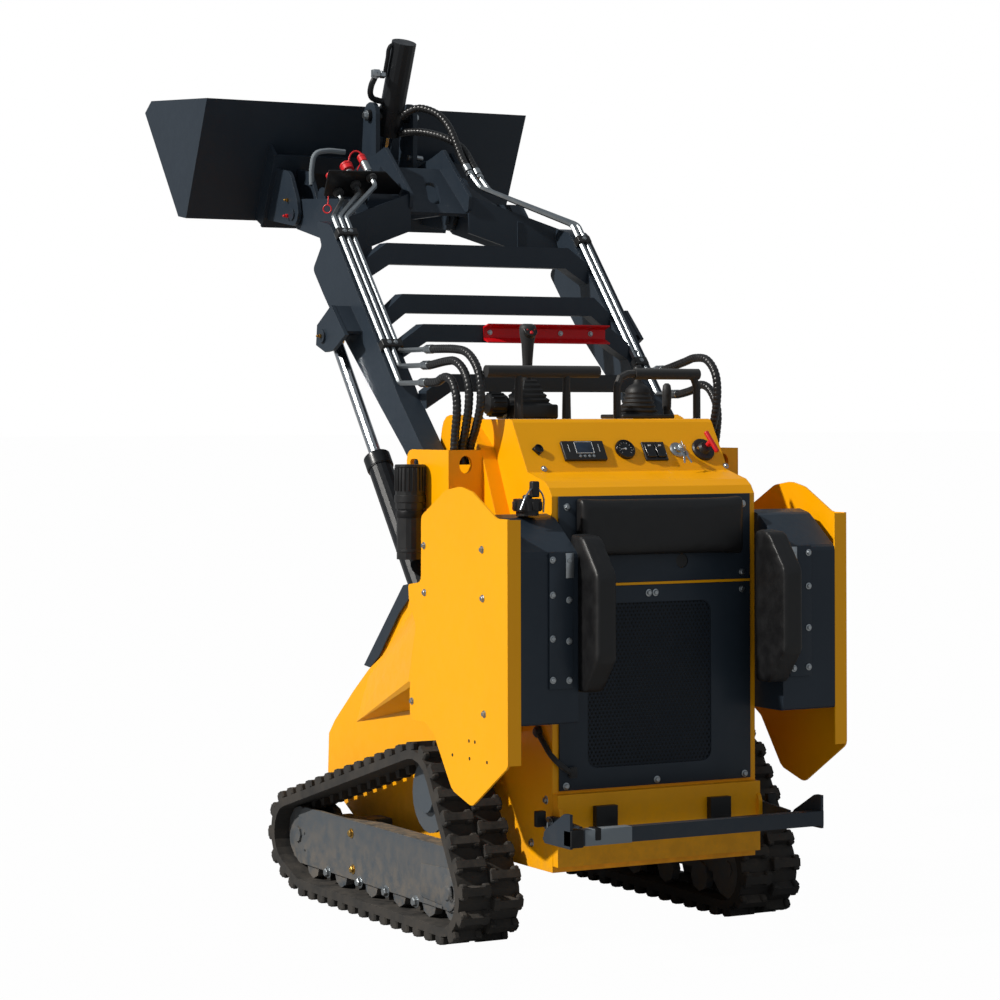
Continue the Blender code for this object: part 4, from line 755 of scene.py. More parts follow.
def guarded_hose(name, line, radius, sides=16):
    """A closed tube along a line, ridged by the helix of its spiral guard."""
    mesh = bmesh.new()
    rings = []
    across = Vector((0, 1, 0)) if abs((line[1] - line[0]).normalized().y) < 0.9 else Vector((1, 0, 0))
    distance = 0.0
    for index, point in enumerate(line):
        ahead = (line[min(index + 1, len(line) - 1)] - line[max(index - 1, 0)]).normalized()
        across = (across - ahead * across.dot(ahead)).normalized()
        other = ahead.cross(across)
        if index:
            distance += (point - line[index - 1]).length
        ring = []
        for number in range(sides):
            angle = 2 * math.pi * number / sides
            ridge = 0.5 + 0.5 * math.cos(2 * math.pi * distance / GUARD_PITCH - angle)
            swell = radius * (0.88 + 0.12 * min(1.0, ridge * 1.8) ** 0.6)
            ring.append(mesh.verts.new(point + (across * math.cos(angle) + other * math.sin(angle)) * swell))
        rings.append(ring)
    for low, high in zip(rings, rings[1:]):
        for number in range(sides):
            after = (number + 1) % sides
            mesh.faces.new((low[number], low[after], high[after], high[number]))
    mesh.faces.new(reversed(rings[0]))
    mesh.faces.new(rings[-1])
    bmesh.ops.recalc_face_normals(mesh, faces=mesh.faces)
    data = bpy.data.meshes.new(name)
    mesh.to_mesh(data)
    mesh.free()
    made = linked(name, data)
    data.materials.append(guard_plastic)
    only(made)
    bpy.ops.object.shade_smooth_by_angle(angle=math.radians(60))
    return made


def crimp():
    """A hose end: a hexagon nut, a neck and a ringed sleeve, up the z axis."""
    nut = turned([(0.0108, 0), (0.0128, 0.001), (0.0128, 0.012), (0.0108, 0.013)], 6)
    sleeve = [(0.0085, 0.011), (0.0085, 0.016), (0.0122, 0.017), (0.0130, 0.020), (0.0122, 0.023)]
    sleeve += [(0.0130, 0.026), (0.0122, 0.029), (0.0130, 0.032), (0.0130, 0.040), (0.0108, 0.042)]
    return joined([nut, turned(sleeve, 16)])


print("pipe feet rise to", round(pipe_height(0.630), 3), "m at the upper clamps")

# %% [markdown]
# At each tower the hoses run from their crimped ends on the arm pipes back over a loop and down into
# the tower's mouth. They are fanned a little, so that they don't touch.

# %% Hoses at the towers
FAN, FAN_CENTRE = 1.22, 0.406
TOWER_ENTRY = ((0.470, 1.318), (0.470, 1.270))
# side, y and distance up the arm of the pipe, x of its end, and the loop's points
HOSES = [
    ("left", 0.386, 0.165, 0.707, (
        (0.556, 1.585), (0.486, 1.573), (0.434, 1.537), (0.411, 1.490), (0.412, 1.430), (0.438, 1.370))),
    ("left", 0.406, 0.105, 0.688, (
        (0.561, 1.552), (0.508, 1.550), (0.460, 1.524), (0.433, 1.480), (0.434, 1.425), (0.452, 1.365))),
    ("left", 0.426, 0.040, 0.663, (
        (0.566, 1.496), (0.522, 1.508), (0.482, 1.495), (0.458, 1.455), (0.455, 1.410), (0.464, 1.360))),
    ("right", -0.386, 0.095, 0.740, (
        (0.592, 1.556), (0.539, 1.566), (0.475, 1.560), (0.430, 1.520), (0.420, 1.460), (0.438, 1.385))),
    ("right", -0.406, 0.000, 0.690, (
        (0.590, 1.475), (0.545, 1.490), (0.500, 1.478), (0.466, 1.440), (0.456, 1.400), (0.462, 1.355))),
]
hoses = {"left": [], "right": []}
for side, y, foot, pipe_end, loop in HOSES:
    height = pipe_height(foot)
    start_x = pipe_end - 0.0015
    points = [at(start_x, y, height), at(start_x - 0.030, y, height)]
    apart = math.copysign(FAN_CENTRE + (abs(y) - FAN_CENTRE) * FAN, y)
    points += [at(x, apart, z) for x, z in (*loop, *TOWER_ENTRY)]
    line = smooth_line(points)
    label = f"{side}_{len(hoses[side]) + 1}"
    made = guarded_hose("hose_" + label, line, HOSE_RADIUS)
    end = stand(crimp(), at(start_x + 0.018, y, height), REARWARD)
    finish(end, "hose_end_" + label, zinc_plate, "arms")
    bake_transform(made)
    hoses[side].append(made)
for side, made in hoses.items():
    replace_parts(made[0], "hoses_" + side)
print("tower hoses:", {side: len(made) for side, made in hoses.items()})

# %% [markdown]
# Two more hoses feed the tilt cylinder. They start at crimped ends on the arms, run up towards the
# barrel and ride on the arms.

# %% Hoses at the tilt cylinder
TILT_HOSES = [
    ((1.430, -0.125, 2.158), (1.470, -0.118, 2.210), (1.515, -0.105, 2.295), (1.560, -0.085, 2.345),
     (1.610, -0.050, 2.368), (1.642, -0.022, 2.358), (1.6665, -0.012, 2.344)),
    ((1.418, -0.152, 2.146), (1.452, -0.150, 2.180), (1.500, -0.140, 2.235), (1.545, -0.105, 2.270),
     (1.600, -0.070, 2.290), (1.650, -0.040, 2.297), (1.698, -0.022, 2.294)),
]
for number, route in enumerate(TILT_HOSES):
    line = smooth_line([at(*point) for point in route])
    made = guarded_hose(f"tilt_hose_{number + 1}", line, HOSE_RADIUS)
    heading = (line[6] - line[0]).normalized()
    end = stand(crimp(), line[0] - heading * 0.016, heading)
    finish(end, f"tilt_hose_end_{number + 1}", zinc_plate, "arms")
    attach(made, "arms")
    if number == 0:
        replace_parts(made, "tilt_hoses")
print("tilt hoses:", len(TILT_HOSES))

# %% [markdown]
# The pipe clamps. Each pair of clamps on an arm is moulded in black plastic, halved round the pipes
# and held by bolts, two on the left and one on the right. A bevelled bar covers each clamp block of
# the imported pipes.

# %% Pipe clamps
ARM_TURN = Matrix(((ARM_WAY.x, 0, -ARM_WAY.y), (0, 1, 0), (ARM_WAY.y, 0, ARM_WAY.x))).to_4x4()
CLAMP_LOW_Y, BOLT_INSET = 0.3735, 0.0225
# side, sign, distances up the arm and outer edge of the clamps
CLAMPS = (("left", 1, (0.186, 0.630), 0.4385), ("right", -1, (0.125, 0.630), 0.4185))
for side, sign, distances, high_y in CLAMPS:
    clamps, clamp_bolts = [], []
    for distance in distances:
        foot = ARM_BACK_LOW + ARM_WAY * distance
        seat = Matrix.Translation(at(foot.x, 0, foot.y)) @ ARM_TURN
        clamp = bar((-0.0135, CLAMP_LOW_Y, 0.0008), (0.0135, high_y, 0.0275), 0.003, 3)
        clamp.matrix_world = seat
        clamps.append(settle(clamp))
        for y in (CLAMP_LOW_Y + BOLT_INSET, high_y - BOLT_INSET)[: 2 if sign > 0 else 1]:
            head = stand(bolt(0.0036), Vector((0, y, 0.0274)))
            head.matrix_world = seat @ head.matrix_world
            clamp_bolts.append(settle(head))
    finish(on_side(joined(clamps), sign), "pipe_clamps_" + side, moulded_black, "arms")
    finish(on_side(joined(clamp_bolts), sign), "clamp_bolts_" + side, zinc_plate, "arms")
print("clamps made")

# %% [markdown]
# The auxiliary couplers. Three quick couplers stand on a black plate at the top of the left arm, so
# that attachments can be plugged in. Each has a rubber grommet below the plate, a plated hexagon
# body and a red dust cap on a tether. The caps are turned, and their tethers are thin bent cords.

# %% Auxiliary couplers
LEAN = math.radians(133.8)
RISING = Vector((math.cos(LEAN), 0, math.sin(LEAN)))
FACING = Vector((math.sin(LEAN), 0, -math.cos(LEAN)))
OUTLINE = [(0.359, 0), (0.374, 0.097), (0.185, 0.1005), (0.112, 0.040)]
OUTLINE += [(0.112, 0.016), (0.215, 0.016), (0.225, 0)]
# y, distance up the plate, cap radius and length of each coupler
COUPLERS = ((0.229, 0.0808, 0.0125, 0.066), (0.272, 0.0502, 0.0185, 0.060), (0.319, 0.0185, 0.0125, 0.050))
GROMMET = [(0.0155, 0), (0.0165, 0.003), (0.0165, 0.008), (0.0120, 0.012), (0.0110, 0.016)]
COLLAR = [(0.0110, 0), (0.0125, 0.002), (0.0125, 0.012), (0.0100, 0.013)]
TETHERS = [
    (0.0026, [(0.272, 0.068, 0.080), (0.260, 0.084, 0.102), (0.244, 0.093, 0.104), (0.229, 0.092, 0.088)]),
    (0.0022, [(0.229, 0.068, 0.080), (0.250, 0.055, 0.045), (0.246, 0.060, 0.012), (0.234, 0.070, 0.006)]),
    (0.0022, [(0.319, 0.006, 0.060), (0.330, -0.010, 0.028), (0.338, -0.030, -0.008)]),
]


def leaning(y, along, out):
    """A place over the coupler plate: its y, how far up the plate and how far out of it."""
    return at(1.453, y, 2.0697) + RISING * along + FACING * out


coupler_plate = stand(plate(OUTLINE, 0.006), leaning(0, 0, -0.003), FACING)
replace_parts(finish(coupler_plate, "coupler_plate", bracket_enamel, "arms"), "couplers")
grommets, bodies, caps = [], [], []
for y, along, wide, long in COUPLERS:
    sleeve = [(0.0095, 0.012), (0.0095, 0.016), (0.0128, 0.017)]
    sleeve += [(0.0128, long - 0.008), (0.0105, long - 0.007), (0.0105, long)]
    cap = [(1, 0), (1, 0.018), (1.08, 0.019), (1.08, 0.026), (0.9, 0.029), (0.4, 0.030)]
    cap = [(wide * share, high) for share, high in cap]
    grommets.append(stand(turned(GROMMET), leaning(y, along, -0.003), -FACING))
    bodies.append(stand(turned(COLLAR, 6), leaning(y, along, 0.003), FACING))
    bodies.append(stand(turned(sleeve), leaning(y, along, 0.003), FACING))
    caps.append(stand(turned(cap), leaning(y, along, long), FACING))
for radius, points in TETHERS:
    caps.append(tube(points, radius, placing=leaning))
bpy.ops.mesh.primitive_torus_add(
    major_radius=0.0125, minor_radius=0.0022, major_segments=24, minor_segments=8,
    rotation=(math.pi / 2, 0.3, 0.9), location=leaning(0.341, -0.038, -0.018),
)
caps.append(settle(bpy.context.object))
finish(joined(grommets), "coupler_grommets", grip_rubber, "arms")
finish(joined(bodies), "coupler_bodies", zinc_plate, "arms")
finish(joined(caps), "coupler_caps", red_plastic, "arms")
print("couplers:", len(grommets))

# %% [markdown]
# The left lever. It rises out of a square rubber boot on a box, folded so that it can lean. A boot
# is drawn ring by ring with wide and narrow folds. The grip swells to a head whose sloping face
# carries red thumb buttons.

# %% Left lever
TOP = 1.3933
FACE_WAY = Vector((-0.82, 0, 0.57))
FACE_CENTRE = at(0.4775, 0.190, TOP + 0.243)
GRIP = [(0.0125, 0), (0.0130, 0.030), (0.0150, 0.075), (0.0180, 0.118)]
GRIP += [(0.0235, 0.146), (0.0245, 0.160), (0.0215, 0.170), (0.012, 0.174)]
FACE = [(0.0195, -0.012), (0.0205, 0.001), (0.0190, 0.003), (0.0175, 0.0015), (0.004, 0.0015)]
BUTTON = [(0.0052, 0.001), (0.0052, 0.0035), (0.0040, 0.0052), (0.0015, 0.0058)]


def folded(widths, low, high, folds, sides):
    """A bellows boot, as rings that go in and out between two heights."""
    rings = []
    for number in range(folds * 2 + 1):
        share = number / (folds * 2)
        wide = widths[0] + (widths[1] - widths[0]) * share
        rings.append((wide if number % 2 == 0 else wide * 0.88, low + (high - low) * share))
    obj = turned([rings[0], *rings, (widths[1] * 0.8, high + 0.003)], sides)
    if sides == 4:
        spun(obj, math.pi / 4)
    return applied(obj, "BEVEL", width=0.0012, segments=2)


box_base = block((0.435, 0.125, TOP), (0.560, 0.255, TOP + 0.040), 0.006, 3)
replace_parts(finish(box_base, "left_lever_box", moulded_black), "joystick_left")
left_boot = stand(folded((0.074, 0.030), 0, 0.066, 5, 4), at(0.495, 0.190, TOP + 0.039))
finish(left_boot, "left_lever_boot", boot_rubber, smooth=50)
grip = turned(GRIP, 24)
grip.scale = (1.0, 0.86, 1.0)
grip = stand(settle(grip), at(0.497, 0.190, TOP + 0.088), (-0.03, 0, 1))
finish(grip, "left_lever_grip", grip_rubber, smooth=60)
finish(stand(turned(FACE, 24), FACE_CENTRE, FACE_WAY), "left_lever_face", moulded_black)
buttons = []
for across, up in ((-0.009, 0.003), (0.009, 0.003), (0.0, -0.009), (0.0, 0.013)):
    buttons.append(stand(spun(turned(BUTTON, 14), 0, (across, up, 0)), FACE_CENTRE, FACE_WAY))
finish(joined(buttons), "thumb_buttons", red_plastic, smooth=50)
print("left lever made, with", len(buttons), "buttons")

# %% [markdown]
# The right lever stands in a round boot on a low base. Beside the levers are the rubber sleeves of
# the hand loop and the hand bar, the throttle's knob and the horn, whose body is turned and has
# ribs round its rim.

# %% Right lever, hand bars and horn
DOME = [(0.036, 0.062), (0.034, 0.072), (0.024, 0.082), (0.014, 0.087), (0.010, 0.100), (0.004, 0.102)]
LEVER_KNOB = [(0.006, 0.095), (0.006, 0.122), (0.012, 0.128), (0.0145, 0.138), (0.010, 0.148), (0.003, 0.150)]
THROTTLE = [(0.009, 0), (0.0125, 0.010), (0.0135, 0.055), (0.011, 0.072), (0.005, 0.078)]
HORN = [(0.024, 0), (0.0305, 0.010), (0.0305, 0.052), (0.026, 0.060), (0.010, 0.062)]
HORN_PLACE = at(0.500, 0.2555, TOP + 0.040)
FINS = 14

right_base = block((0.435, -0.250, TOP), (0.560, -0.080, TOP + 0.012), 0.004, 3)
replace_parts(finish(right_base, "right_lever_base", moulded_black), "joystick_right")
right_boot = joined([folded((0.062, 0.036), 0, 0.062, 5, 28), turned(DOME, 28)])
finish(stand(right_boot, at(0.495, -0.165, TOP + 0.011)), "right_lever_boot", boot_rubber, smooth=50)
right_knob = stand(turned(LEVER_KNOB, 18), at(0.495, -0.165, TOP))
finish(right_knob, "right_lever_knob", moulded_black, smooth=50)
loop_grip = tube([(0.400, y, TOP + 0.124) for y in (-0.095, -0.200, -0.305)], 0.0158, 5, 3)
finish(loop_grip, "right_loop_grip", grip_rubber)
bar_grip = tube([(0.400, y, TOP + 0.129) for y in (0.020, 0.195, 0.371)], 0.0168, 5, 3)
finish(bar_grip, "left_bar_grip", grip_rubber)
throttle = stand(turned(THROTTLE, 18), at(0.510, -0.270, TOP + 0.022))
finish(throttle, "throttle_knob", grip_rubber, smooth=50)

horn_parts = [stand(turned(HORN, 28), HORN_PLACE, LEFT)]
for number in range(FINS):
    fin = bar((-0.0025, 0.0285, 0.014), (0.0025, 0.0345, 0.052), 0.0008, 1)
    horn_parts.append(stand(fin, HORN_PLACE, LEFT, roll=2 * math.pi * number / FINS))
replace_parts(finish(joined(horn_parts), "horn_body", moulded_black), "horn")
finish(block((0.490, 0.2560, TOP), (0.510, 0.2590, TOP + 0.050)), "horn_bracket", zinc_plate)
corners = ((0.405, 0.300), (0.405, 0.118), (0.405, -0.300), (0.560, 0.300))
finish(joined([stand(bolt(0.005), at(x, y, TOP)) for x, y in corners]), "console_bolts", black_oxide)
print("right lever, bars and horn made")

# %% [markdown]
# The instruments on the console's slope. On the left are a socket, a display with its frame and
# buttons, and a gauge. Each is drawn flat, as the operator sees it, and then stood on the slope.

# %% Socket, display and gauge
SLOPE = Vector((-0.850, 0, 0.527))
DISPLAY, GAUGE = (0.1275, 1.304), (-0.005, 1.308)
# the low and high corners of the four strips round the screen
FRAME_STRIPS = [(-0.027, 0.0245, 0.029, 0.0262), (-0.027, -0.0105, 0.029, -0.0088)]
FRAME_STRIPS += [(-0.027, -0.0105, -0.0255, 0.0262), (0.0275, -0.0105, 0.029, 0.0262)]


def instrument(pieces, name, material, y, z, roll=0.0):
    """Joins pieces drawn flat and stands them on the slope at a y and a height."""
    place = at(0.267 + (z - 1.251) * 0.088 / 0.142, y, z)
    return finish(stand(joined(pieces), place, SLOPE, roll), name, material)


socket_flange = bar((-0.013, -0.013, 0), (0.013, 0.013, 0.004), 0.0015)
socket_rim = turned([(0.0125, 0.002), (0.0125, 0.010), (0.0100, 0.011), (0.0090, 0.006), (0.002, 0.006)])
instrument([socket_flange, socket_rim], "socket", gloss_black, 0.266, 1.310, math.radians(38))
case = bar((-0.0655, -0.030, -0.001), (0.0655, 0.030, 0.010), 0.003, 3)
instrument([case], "display_case", moulded_black, *DISPLAY)
screen = bar((-0.024, -0.008, 0.005), (0.026, 0.024, 0.0108), 0.0006)
instrument([screen], "display_screen", screen_glass, *DISPLAY)
marks = [bar((x, y, 0.005), (far_x, far_y, 0.0112), 0.0002, 1) for x, y, far_x, far_y in FRAME_STRIPS]
for side in (-0.047, 0.047):
    marks.append(bar((side - 0.0008, -0.006, 0.005), (side + 0.0008, 0.018, 0.0107), 0.0002, 1))
instrument(marks, "display_frame", pale_mark, *DISPLAY)
keys = []
for across in (-0.018, -0.004, 0.010, 0.024):
    key_button = turned([(0.0042, 0.009), (0.0042, 0.0118), (0.002, 0.0126)], 12)
    keys.append(spun(key_button, 0, (across, -0.0195, 0)))
instrument(keys, "display_buttons", pale_grey_enamel, *DISPLAY)
gauge_rim = turned([(0.0300, 0), (0.0300, 0.006), (0.0275, 0.010), (0.0250, 0.010), (0.0240, 0.006)], 32)
instrument([gauge_rim, turned([(0.0245, 0.001), (0.0245, 0.0065)], 32)], "gauge", gloss_black, *GAUGE)
dial = []
for number in range(11):
    tick = bar((-0.0005, 0.0165, 0.0060), (0.0005, 0.0215, 0.0072), 0.0001, 1)
    dial.append(spun(tick, math.radians(-130 + 26 * number)))
needle = bar((-0.0006, -0.004, 0.0060), (0.0006, 0.0150, 0.0078), 0.0001, 1)
dial += [spun(needle, math.radians(95)), turned([(0.0030, 0.006), (0.0030, 0.0082)], 12)]
instrument(dial, "gauge_marks", pale_mark, *GAUGE)
print("display and gauge made")

# %% [markdown]
# On the slope's right are two rocker switches, the key with its spares on a ring, and the battery
# isolator with a red T handle.

# %% Switches, key and isolator
ROCKERS, KEY = (-0.0975, 1.3025), (-0.173, 1.307)
SPARE = [(-0.007, -0.020), (0.007, -0.020), (0.008, -0.032), (0.003, -0.037)]
SPARE += [(0.003, -0.058), (-0.002, -0.060), (-0.003, -0.037), (-0.008, -0.032)]
LOCK = [(0.0230, 0), (0.0230, 0.003), (0.0195, 0.006), (0.0125, 0.007), (0.0115, 0.013), (0.0060, 0.014)]
ISOLATOR = [(0.0340, 0), (0.0340, 0.005), (0.0310, 0.009), (0.0200, 0.010), (0.0140, 0.020), (0.006, 0.021)]

rocker_frame = bar((-0.0355, -0.029, -0.001), (0.0355, 0.029, 0.006), 0.002, 3)
instrument([rocker_frame], "rocker_frame", moulded_black, *ROCKERS)
rockers, rocker_marks = [], []
for across in (-0.0165, 0.0165):
    rocker = bar((across - 0.0140, -0.023, 0.003), (across + 0.0140, 0.023, 0.011), 0.003, 3)
    rocker.rotation_euler.x = math.radians(-6)
    rockers.append(settle(rocker))
    rocker_marks.append(bar((across - 0.004, 0.012, 0.009), (across + 0.004, 0.016, 0.0122), 0.0004, 1))
instrument(rockers, "rockers", gloss_black, *ROCKERS)
instrument(rocker_marks, "rocker_marks", pale_mark, *ROCKERS)
blade = bar((-0.0012, -0.009, 0.010), (0.0012, 0.009, 0.034), 0.0006, 1)
instrument([turned(LOCK, 24), blade], "key_switch", zinc_plate, *KEY)
bpy.ops.mesh.primitive_torus_add(
    major_radius=0.0105, minor_radius=0.0010, major_segments=24, minor_segments=6,
    rotation=(0, math.pi / 2, 0), location=(0, -0.013, 0.030),
)
spare_keys = [settle(bpy.context.object)]
for lean, sideways in ((0.30, -0.004), (-0.25, 0.005)):
    spare_keys.append(spun(plate(SPARE, 0.0016, 0.0003), lean, (sideways, -0.001, 0.027)))
instrument(spare_keys, "spare_keys", zinc_plate, *KEY)
instrument([turned(ISOLATOR, 32)], "isolator", moulded_black, -0.256, 1.306)
stem = turned([(0.0075, 0.015), (0.0070, 0.040)], 16)
crossbar = bar((-0.0062, -0.036, 0.034), (0.0062, 0.032, 0.046), 0.004, 3)
instrument([stem, crossbar], "isolator_handle", red_plastic, -0.264, 1.310, math.radians(14))
screw = turned([(0.0050, 0.007), (0.0050, 0.012), (0.002, 0.013)], 6)
instrument([screw], "isolator_screw", brass, -0.236, 1.306)
for side, y, z in (("left", 0.264, 1.260), ("right", -0.314, 1.262)):
    instrument([bolt(0.0046)], "slope_screw_" + side, zinc_plate, y, z)
print("switches, key and isolator made")

# %% [markdown]
# The document tube and the hydraulic tank's filler. The tube's cap has grip ribs and a wider lip,
# and a band clamps the tube to the wing. The filler's cap has flats for the hand and a wire latch.

# %% Document tube and filler
TUBE, FILLER = at(0.588, 0.5053, 0), at(0.120, 0.400, 0)
RIBS, FLATS = 22, 8
BAND = [(0.0385, 1.126), (0.0392, 1.128), (0.0392, 1.142), (0.0385, 1.144)]
CAP_TOP = [(0.013, 1.184), (0.013, 1.192), (0.010, 1.196), (0.004, 1.197)]
WIRE = [(0.120, 0.352, 1.150), (0.110, 0.360, 1.196), (0.100, 0.392, 1.214)]
WIRE += [(0.088, 0.420, 1.196), (0.084, 0.440, 1.158)]
tube_parts = []
for number in range(RIBS):
    rib = bar((0.0395, -0.0022, 1.198), (0.0432, 0.0022, 1.262), 0.0012)
    tube_parts.append(spun(rib, 2 * math.pi * number / RIBS, TUBE))
for low, high, wide in ((1.166, 1.188, 0.0432), (1.262, 1.2685, 0.0425), (1.030, 1.040, 0.0382)):
    ring = [(wide - 0.002, low), (wide, low + 0.002), (wide, high - 0.002), (wide - 0.002, high)]
    tube_parts.append(stand(turned(ring, 28), TUBE))
finish(joined(tube_parts), "document_tube_ribs", moulded_black, smooth=40)
finish(stand(turned(BAND, 28), TUBE), "document_tube_band", black_oxide, smooth=40)
filler_parts = []
for number in range(FLATS):
    flat = bar((0.0335, -0.006, 1.1565), (0.0398, 0.006, 1.179), 0.002)
    filler_parts.append(spun(flat, 2 * math.pi * number / FLATS, FILLER))
filler_parts.append(stand(turned(CAP_TOP), FILLER))
finish(joined(filler_parts), "filler_flats", moulded_black, smooth=40)
finish(tube(WIRE, 0.0024), "filler_latch", zinc_plate)
finish(block((0.092, 0.378, 1.190), (0.112, 0.400, 1.232), 0.004, 3), "filler_lock", moulded_black)
print("tube ribs and filler made")

# %% [markdown]
# The track's lugs. On the real belt each lug swells at both ends into a knob, which grips the soil
# when the machine turns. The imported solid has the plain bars. One knob is a bevelled block, and its
# copies follow the same line of idlers, roller and sprocket that the solid was laid along.

# %% Track lug ends
WHEELS = [(0.362, 0.130, 0.130), (1.262, 0.092, 0.092), (1.353, 0.166, 0.130), (0.530, 0.372, 0.150)]
LUG_HEIGHT, LUG_COUNT = 0.022, 42
KNOBS = ((0.3512, 0.370, 0.043), (0.418, 0.4378, 0.038), (0.4462, 0.466, 0.038), (0.514, 0.5328, 0.043))


def belt_line(inset):
    """The belt's closed outline as (x, z) points, round the four wheels."""
    angles, points = [], []
    for index, (x, z, radius) in enumerate(WHEELS):
        next_x, next_z, next_radius = WHEELS[(index + 1) % len(WHEELS)]
        reach = math.hypot(next_x - x, next_z - z)
        angles.append(math.atan2(next_z - z, next_x - x) - math.acos((radius - next_radius) / reach))
    for index, (x, z, radius) in enumerate(WHEELS):
        start, end = angles[index - 1], angles[index]
        while end < start:
            end += 2 * math.pi
        pieces = max(2, math.ceil((end - start) / math.radians(20)))
        for number in range(pieces + 1):
            angle = start + (end - start) * number / pieces
            reach = radius - inset
            points.append(Vector((x + reach * math.cos(angle), z + reach * math.sin(angle))))
    return points


def along_line(points, distance):
    """The place and heading at a distance along a closed line."""
    for a, b in zip(points, [*points[1:], points[0]]):
        length = (b - a).length
        if distance <= length:
            return a.lerp(b, distance / length), math.atan2(b.y - a.y, b.x - a.x)
        distance -= length
    return points[0], 0.0


line = belt_line(LUG_HEIGHT)
round_length = length_of([*line, line[0]])
models = [bar((-wide / 2, low, -0.0212), (wide / 2, high, 0.001), 0.004, 1) for low, high, wide in KNOBS]
knobs = []
for number in range(LUG_COUNT):
    for start, pair in ((0.0, (models[0], models[1])), (0.5, (models[2], models[3]))):
        place, heading = along_line(line, round_length * (number + start) / LUG_COUNT)
        seat = Matrix.Translation(at(place.x, 0, place.y)) @ Matrix.Rotation(-heading, 4, "Y")
        for model in pair:
            knobs.append(copy_of(model))
            knobs[-1].matrix_world = seat
for model in models:
    bpy.data.objects.remove(model, do_unlink=True)
lug_ends = settle(joined(knobs))
other_ends = mirrored(lug_ends)
finish(lug_ends, "lug_ends_left", track_rubber)
finish(other_ends, "lug_ends_right", track_rubber)
print("knobs on each track:", len(knobs), "faces:", len(lug_ends.data.polygons))

# %% [markdown]
# Small steel parts. The platform has a catch and a pale sleeve at its left end, the tilt cylinder
# has a side pipe with a plated elbow, and a bent lever locks the attachment. A dark disc and a dark
# plate are painted shade behind the rear panel's notch and window.

# %% Platform, tilt cylinder and hitch lever
AXIS = Vector((-0.394, 0, 0.919))
SIDE = Vector((-0.919, 0, -0.394))
SIDE_PIPE = [(0.236, 0.036), (0.226, 0.047), (0.190, 0.048), (0.130, 0.048)]
BEND = [(0.126, 0.086, 0.012), (0.098, 0.094, 0.014), (0.066, 0.086, 0.010)]
BEND += [(0.050, 0.052, 0.0), (0.048, 0.034, 0.0)]
UPPER_NUT = [(0.0110, 0), (0.0120, 0.001), (0.0120, 0.016), (0.0095, 0.018), (0.0095, 0.030)]
LOWER_NUT = [(0.0110, 0), (0.0125, 0.002), (0.0125, 0.020), (0.0100, 0.022)]
LOCK_LEVER = [(1.790, 0.244, 2.130), (1.788, 0.243, 2.190), (1.786, 0.232, 2.226)]
LOCK_LEVER += [(1.784, 0.205, 2.237), (1.782, 0.132, 2.237)]
STOP_PIN = [(1.700, -0.050, 2.220), (1.700, -0.075, 2.220), (1.700, -0.100, 2.218)]


def on_barrel(along, y, across=0.0):
    """A place beside the tilt barrel: how far above its trunnion, its y, and how far to the rear."""
    return at(1.7215, y, 2.350) + AXIS * along + SIDE * across


sleeve = block((-0.0840, 0.207, 0.3055), (-0.0505, 0.347, 0.3475), 0.002)
finish(sleeve, "platform_sleeve", pale_grey_enamel, "platform_body")
catch = [block((-0.0860, 0.300, 0.318), (-0.0480, 0.318, 0.350), 0.003)]
catch.append(block((-0.0880, 0.352, 0.303), (-0.0460, 0.390, 0.3485), 0.004))
finish(joined(catch), "platform_catch", bracket_enamel, "platform_body")
for side, sign in BOTH_SIDES:
    y = sign * 0.3605
    arm_plate = block((0.118, y - 0.014, 0.330), (0.136, y + 0.014, 0.372), 0.003)
    finish(arm_plate, "platform_bracket_" + side, bracket_enamel)

side_pipe = tube(SIDE_PIPE, 0.0065, placing=on_barrel)
bend = tube(BEND, 0.0095, placing=on_barrel)
finish(joined([side_pipe, bend]), "tilt_side_pipe", cylinder_enamel, "tilt_barrel_body")
elbow = [stand(turned(UPPER_NUT, 6), on_barrel(0.135, 0.048), LEFT)]
elbow.append(stand(turned(LOWER_NUT, 6), on_barrel(0.148, 0.086, 0.012), -AXIS))
corner = bar((-0.011, -0.011, -0.011), (0.011, 0.011, 0.011), 0.002)
elbow.append(spun(corner, 0, on_barrel(0.142, 0.086, 0.012)))
finish(joined(elbow), "tilt_elbow", zinc_plate, "tilt_barrel_body")
finish(tube(LOCK_LEVER, 0.0085), "hitch_lock_lever", pale_grey_enamel, "hitch_body")
finish(tube(STOP_PIN, 0.0085), "head_stop_pin", zinc_plate, "arms")
# A black disc of painted shade fills what shows through the upper plate's notch.
notch_shade_disc = stand(turned([(0.0182, 0), (0.0182, 0.0005)]), at(0.1338, NOTCH_Y, NOTCH_Z), REARWARD)
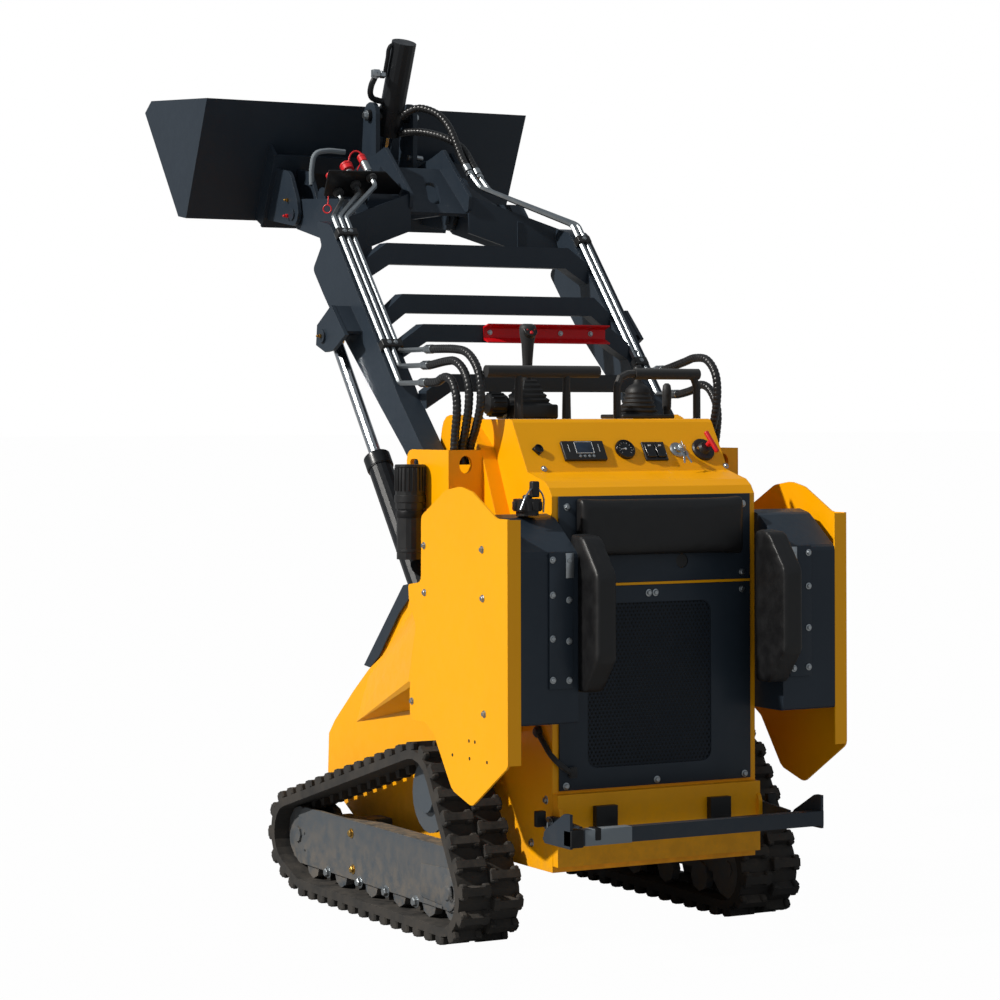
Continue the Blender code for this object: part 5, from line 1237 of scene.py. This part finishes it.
finish(notch_shade_disc, "panel_notch_shade", moulded_black)
# A black plate of painted shade closes what shows through the punched window.
finish(block((0.1405, -0.245, 0.440), (0.1475, 0.245, 0.930)), "window_shade_plate", moulded_black)
print("platform fittings, elbow and lever made")

# %% [markdown]
# The last pieces come in pairs: a raised plate with the axle's hub at each rear idler, six bolts on
# each drive sprocket, and the gland that closes each lift barrel round its rod.

# %% Idler plates, sprocket bolts and glands
RAISE = 0.003
HUB = [(0.048, 0), (0.048, 0.004), (0.040, 0.006), (0.022, 0.006), (0.018, 0.010), (0.006, 0.011)]
RAISED = [(0.549, 0.188), (0.397, 0.196), (0.350, 0.189), (0.330, 0.112), (0.385, 0.092), (0.549, 0.098)]
GLAND = [(0.0370, -0.030), (0.0385, -0.028), (0.0385, 0.010), (0.0330, 0.014), (0.0180, 0.015)]
LIFT_WAY = at(1.160, 0, 1.635) - at(0.417, 0, 0.700)
GLAND_REACH = 0.738
HUB_BOLTS, BOLT_CIRCLE = 6, 0.050
for side, sign in BOTH_SIDES:
    way = (0, sign, 0)
    axle = stand(turned(HUB, 28), at(0.390, sign * FRAME_Y, 0.130), way)
    raised = plate(RAISED, RAISE)
    face = sign * (FRAME_Y + RAISE)
    raised.matrix_world = Matrix(((1, 0, 0, SHIFT), (0, 0, -sign, face), (0, 1, 0, 0), (0, 0, 0, 1)))
    faces_out(settle(raised))
    finish(joined([axle, raised]), "idler_plate_" + side, frame_enamel)
    hub_bolts = []
    for number in range(HUB_BOLTS):
        angle = math.radians(60 * number + 15)
        x, z = 0.530 + BOLT_CIRCLE * math.cos(angle), 0.372 + BOLT_CIRCLE * math.sin(angle)
        hub_bolts.append(stand(bolt(0.0055), at(x, sign * 0.4555, z), way))
    finish(joined(hub_bolts), "sprocket_bolts_" + side, zinc_plate)
    gland_place = at(0.417, sign * 0.462, 0.700) + LIFT_WAY.normalized() * GLAND_REACH
    gland = stand(turned(GLAND, 28), gland_place, LIFT_WAY)
    finish(gland, "lift_gland_" + side, cylinder_enamel, f"lift_barrel_{side}_body")
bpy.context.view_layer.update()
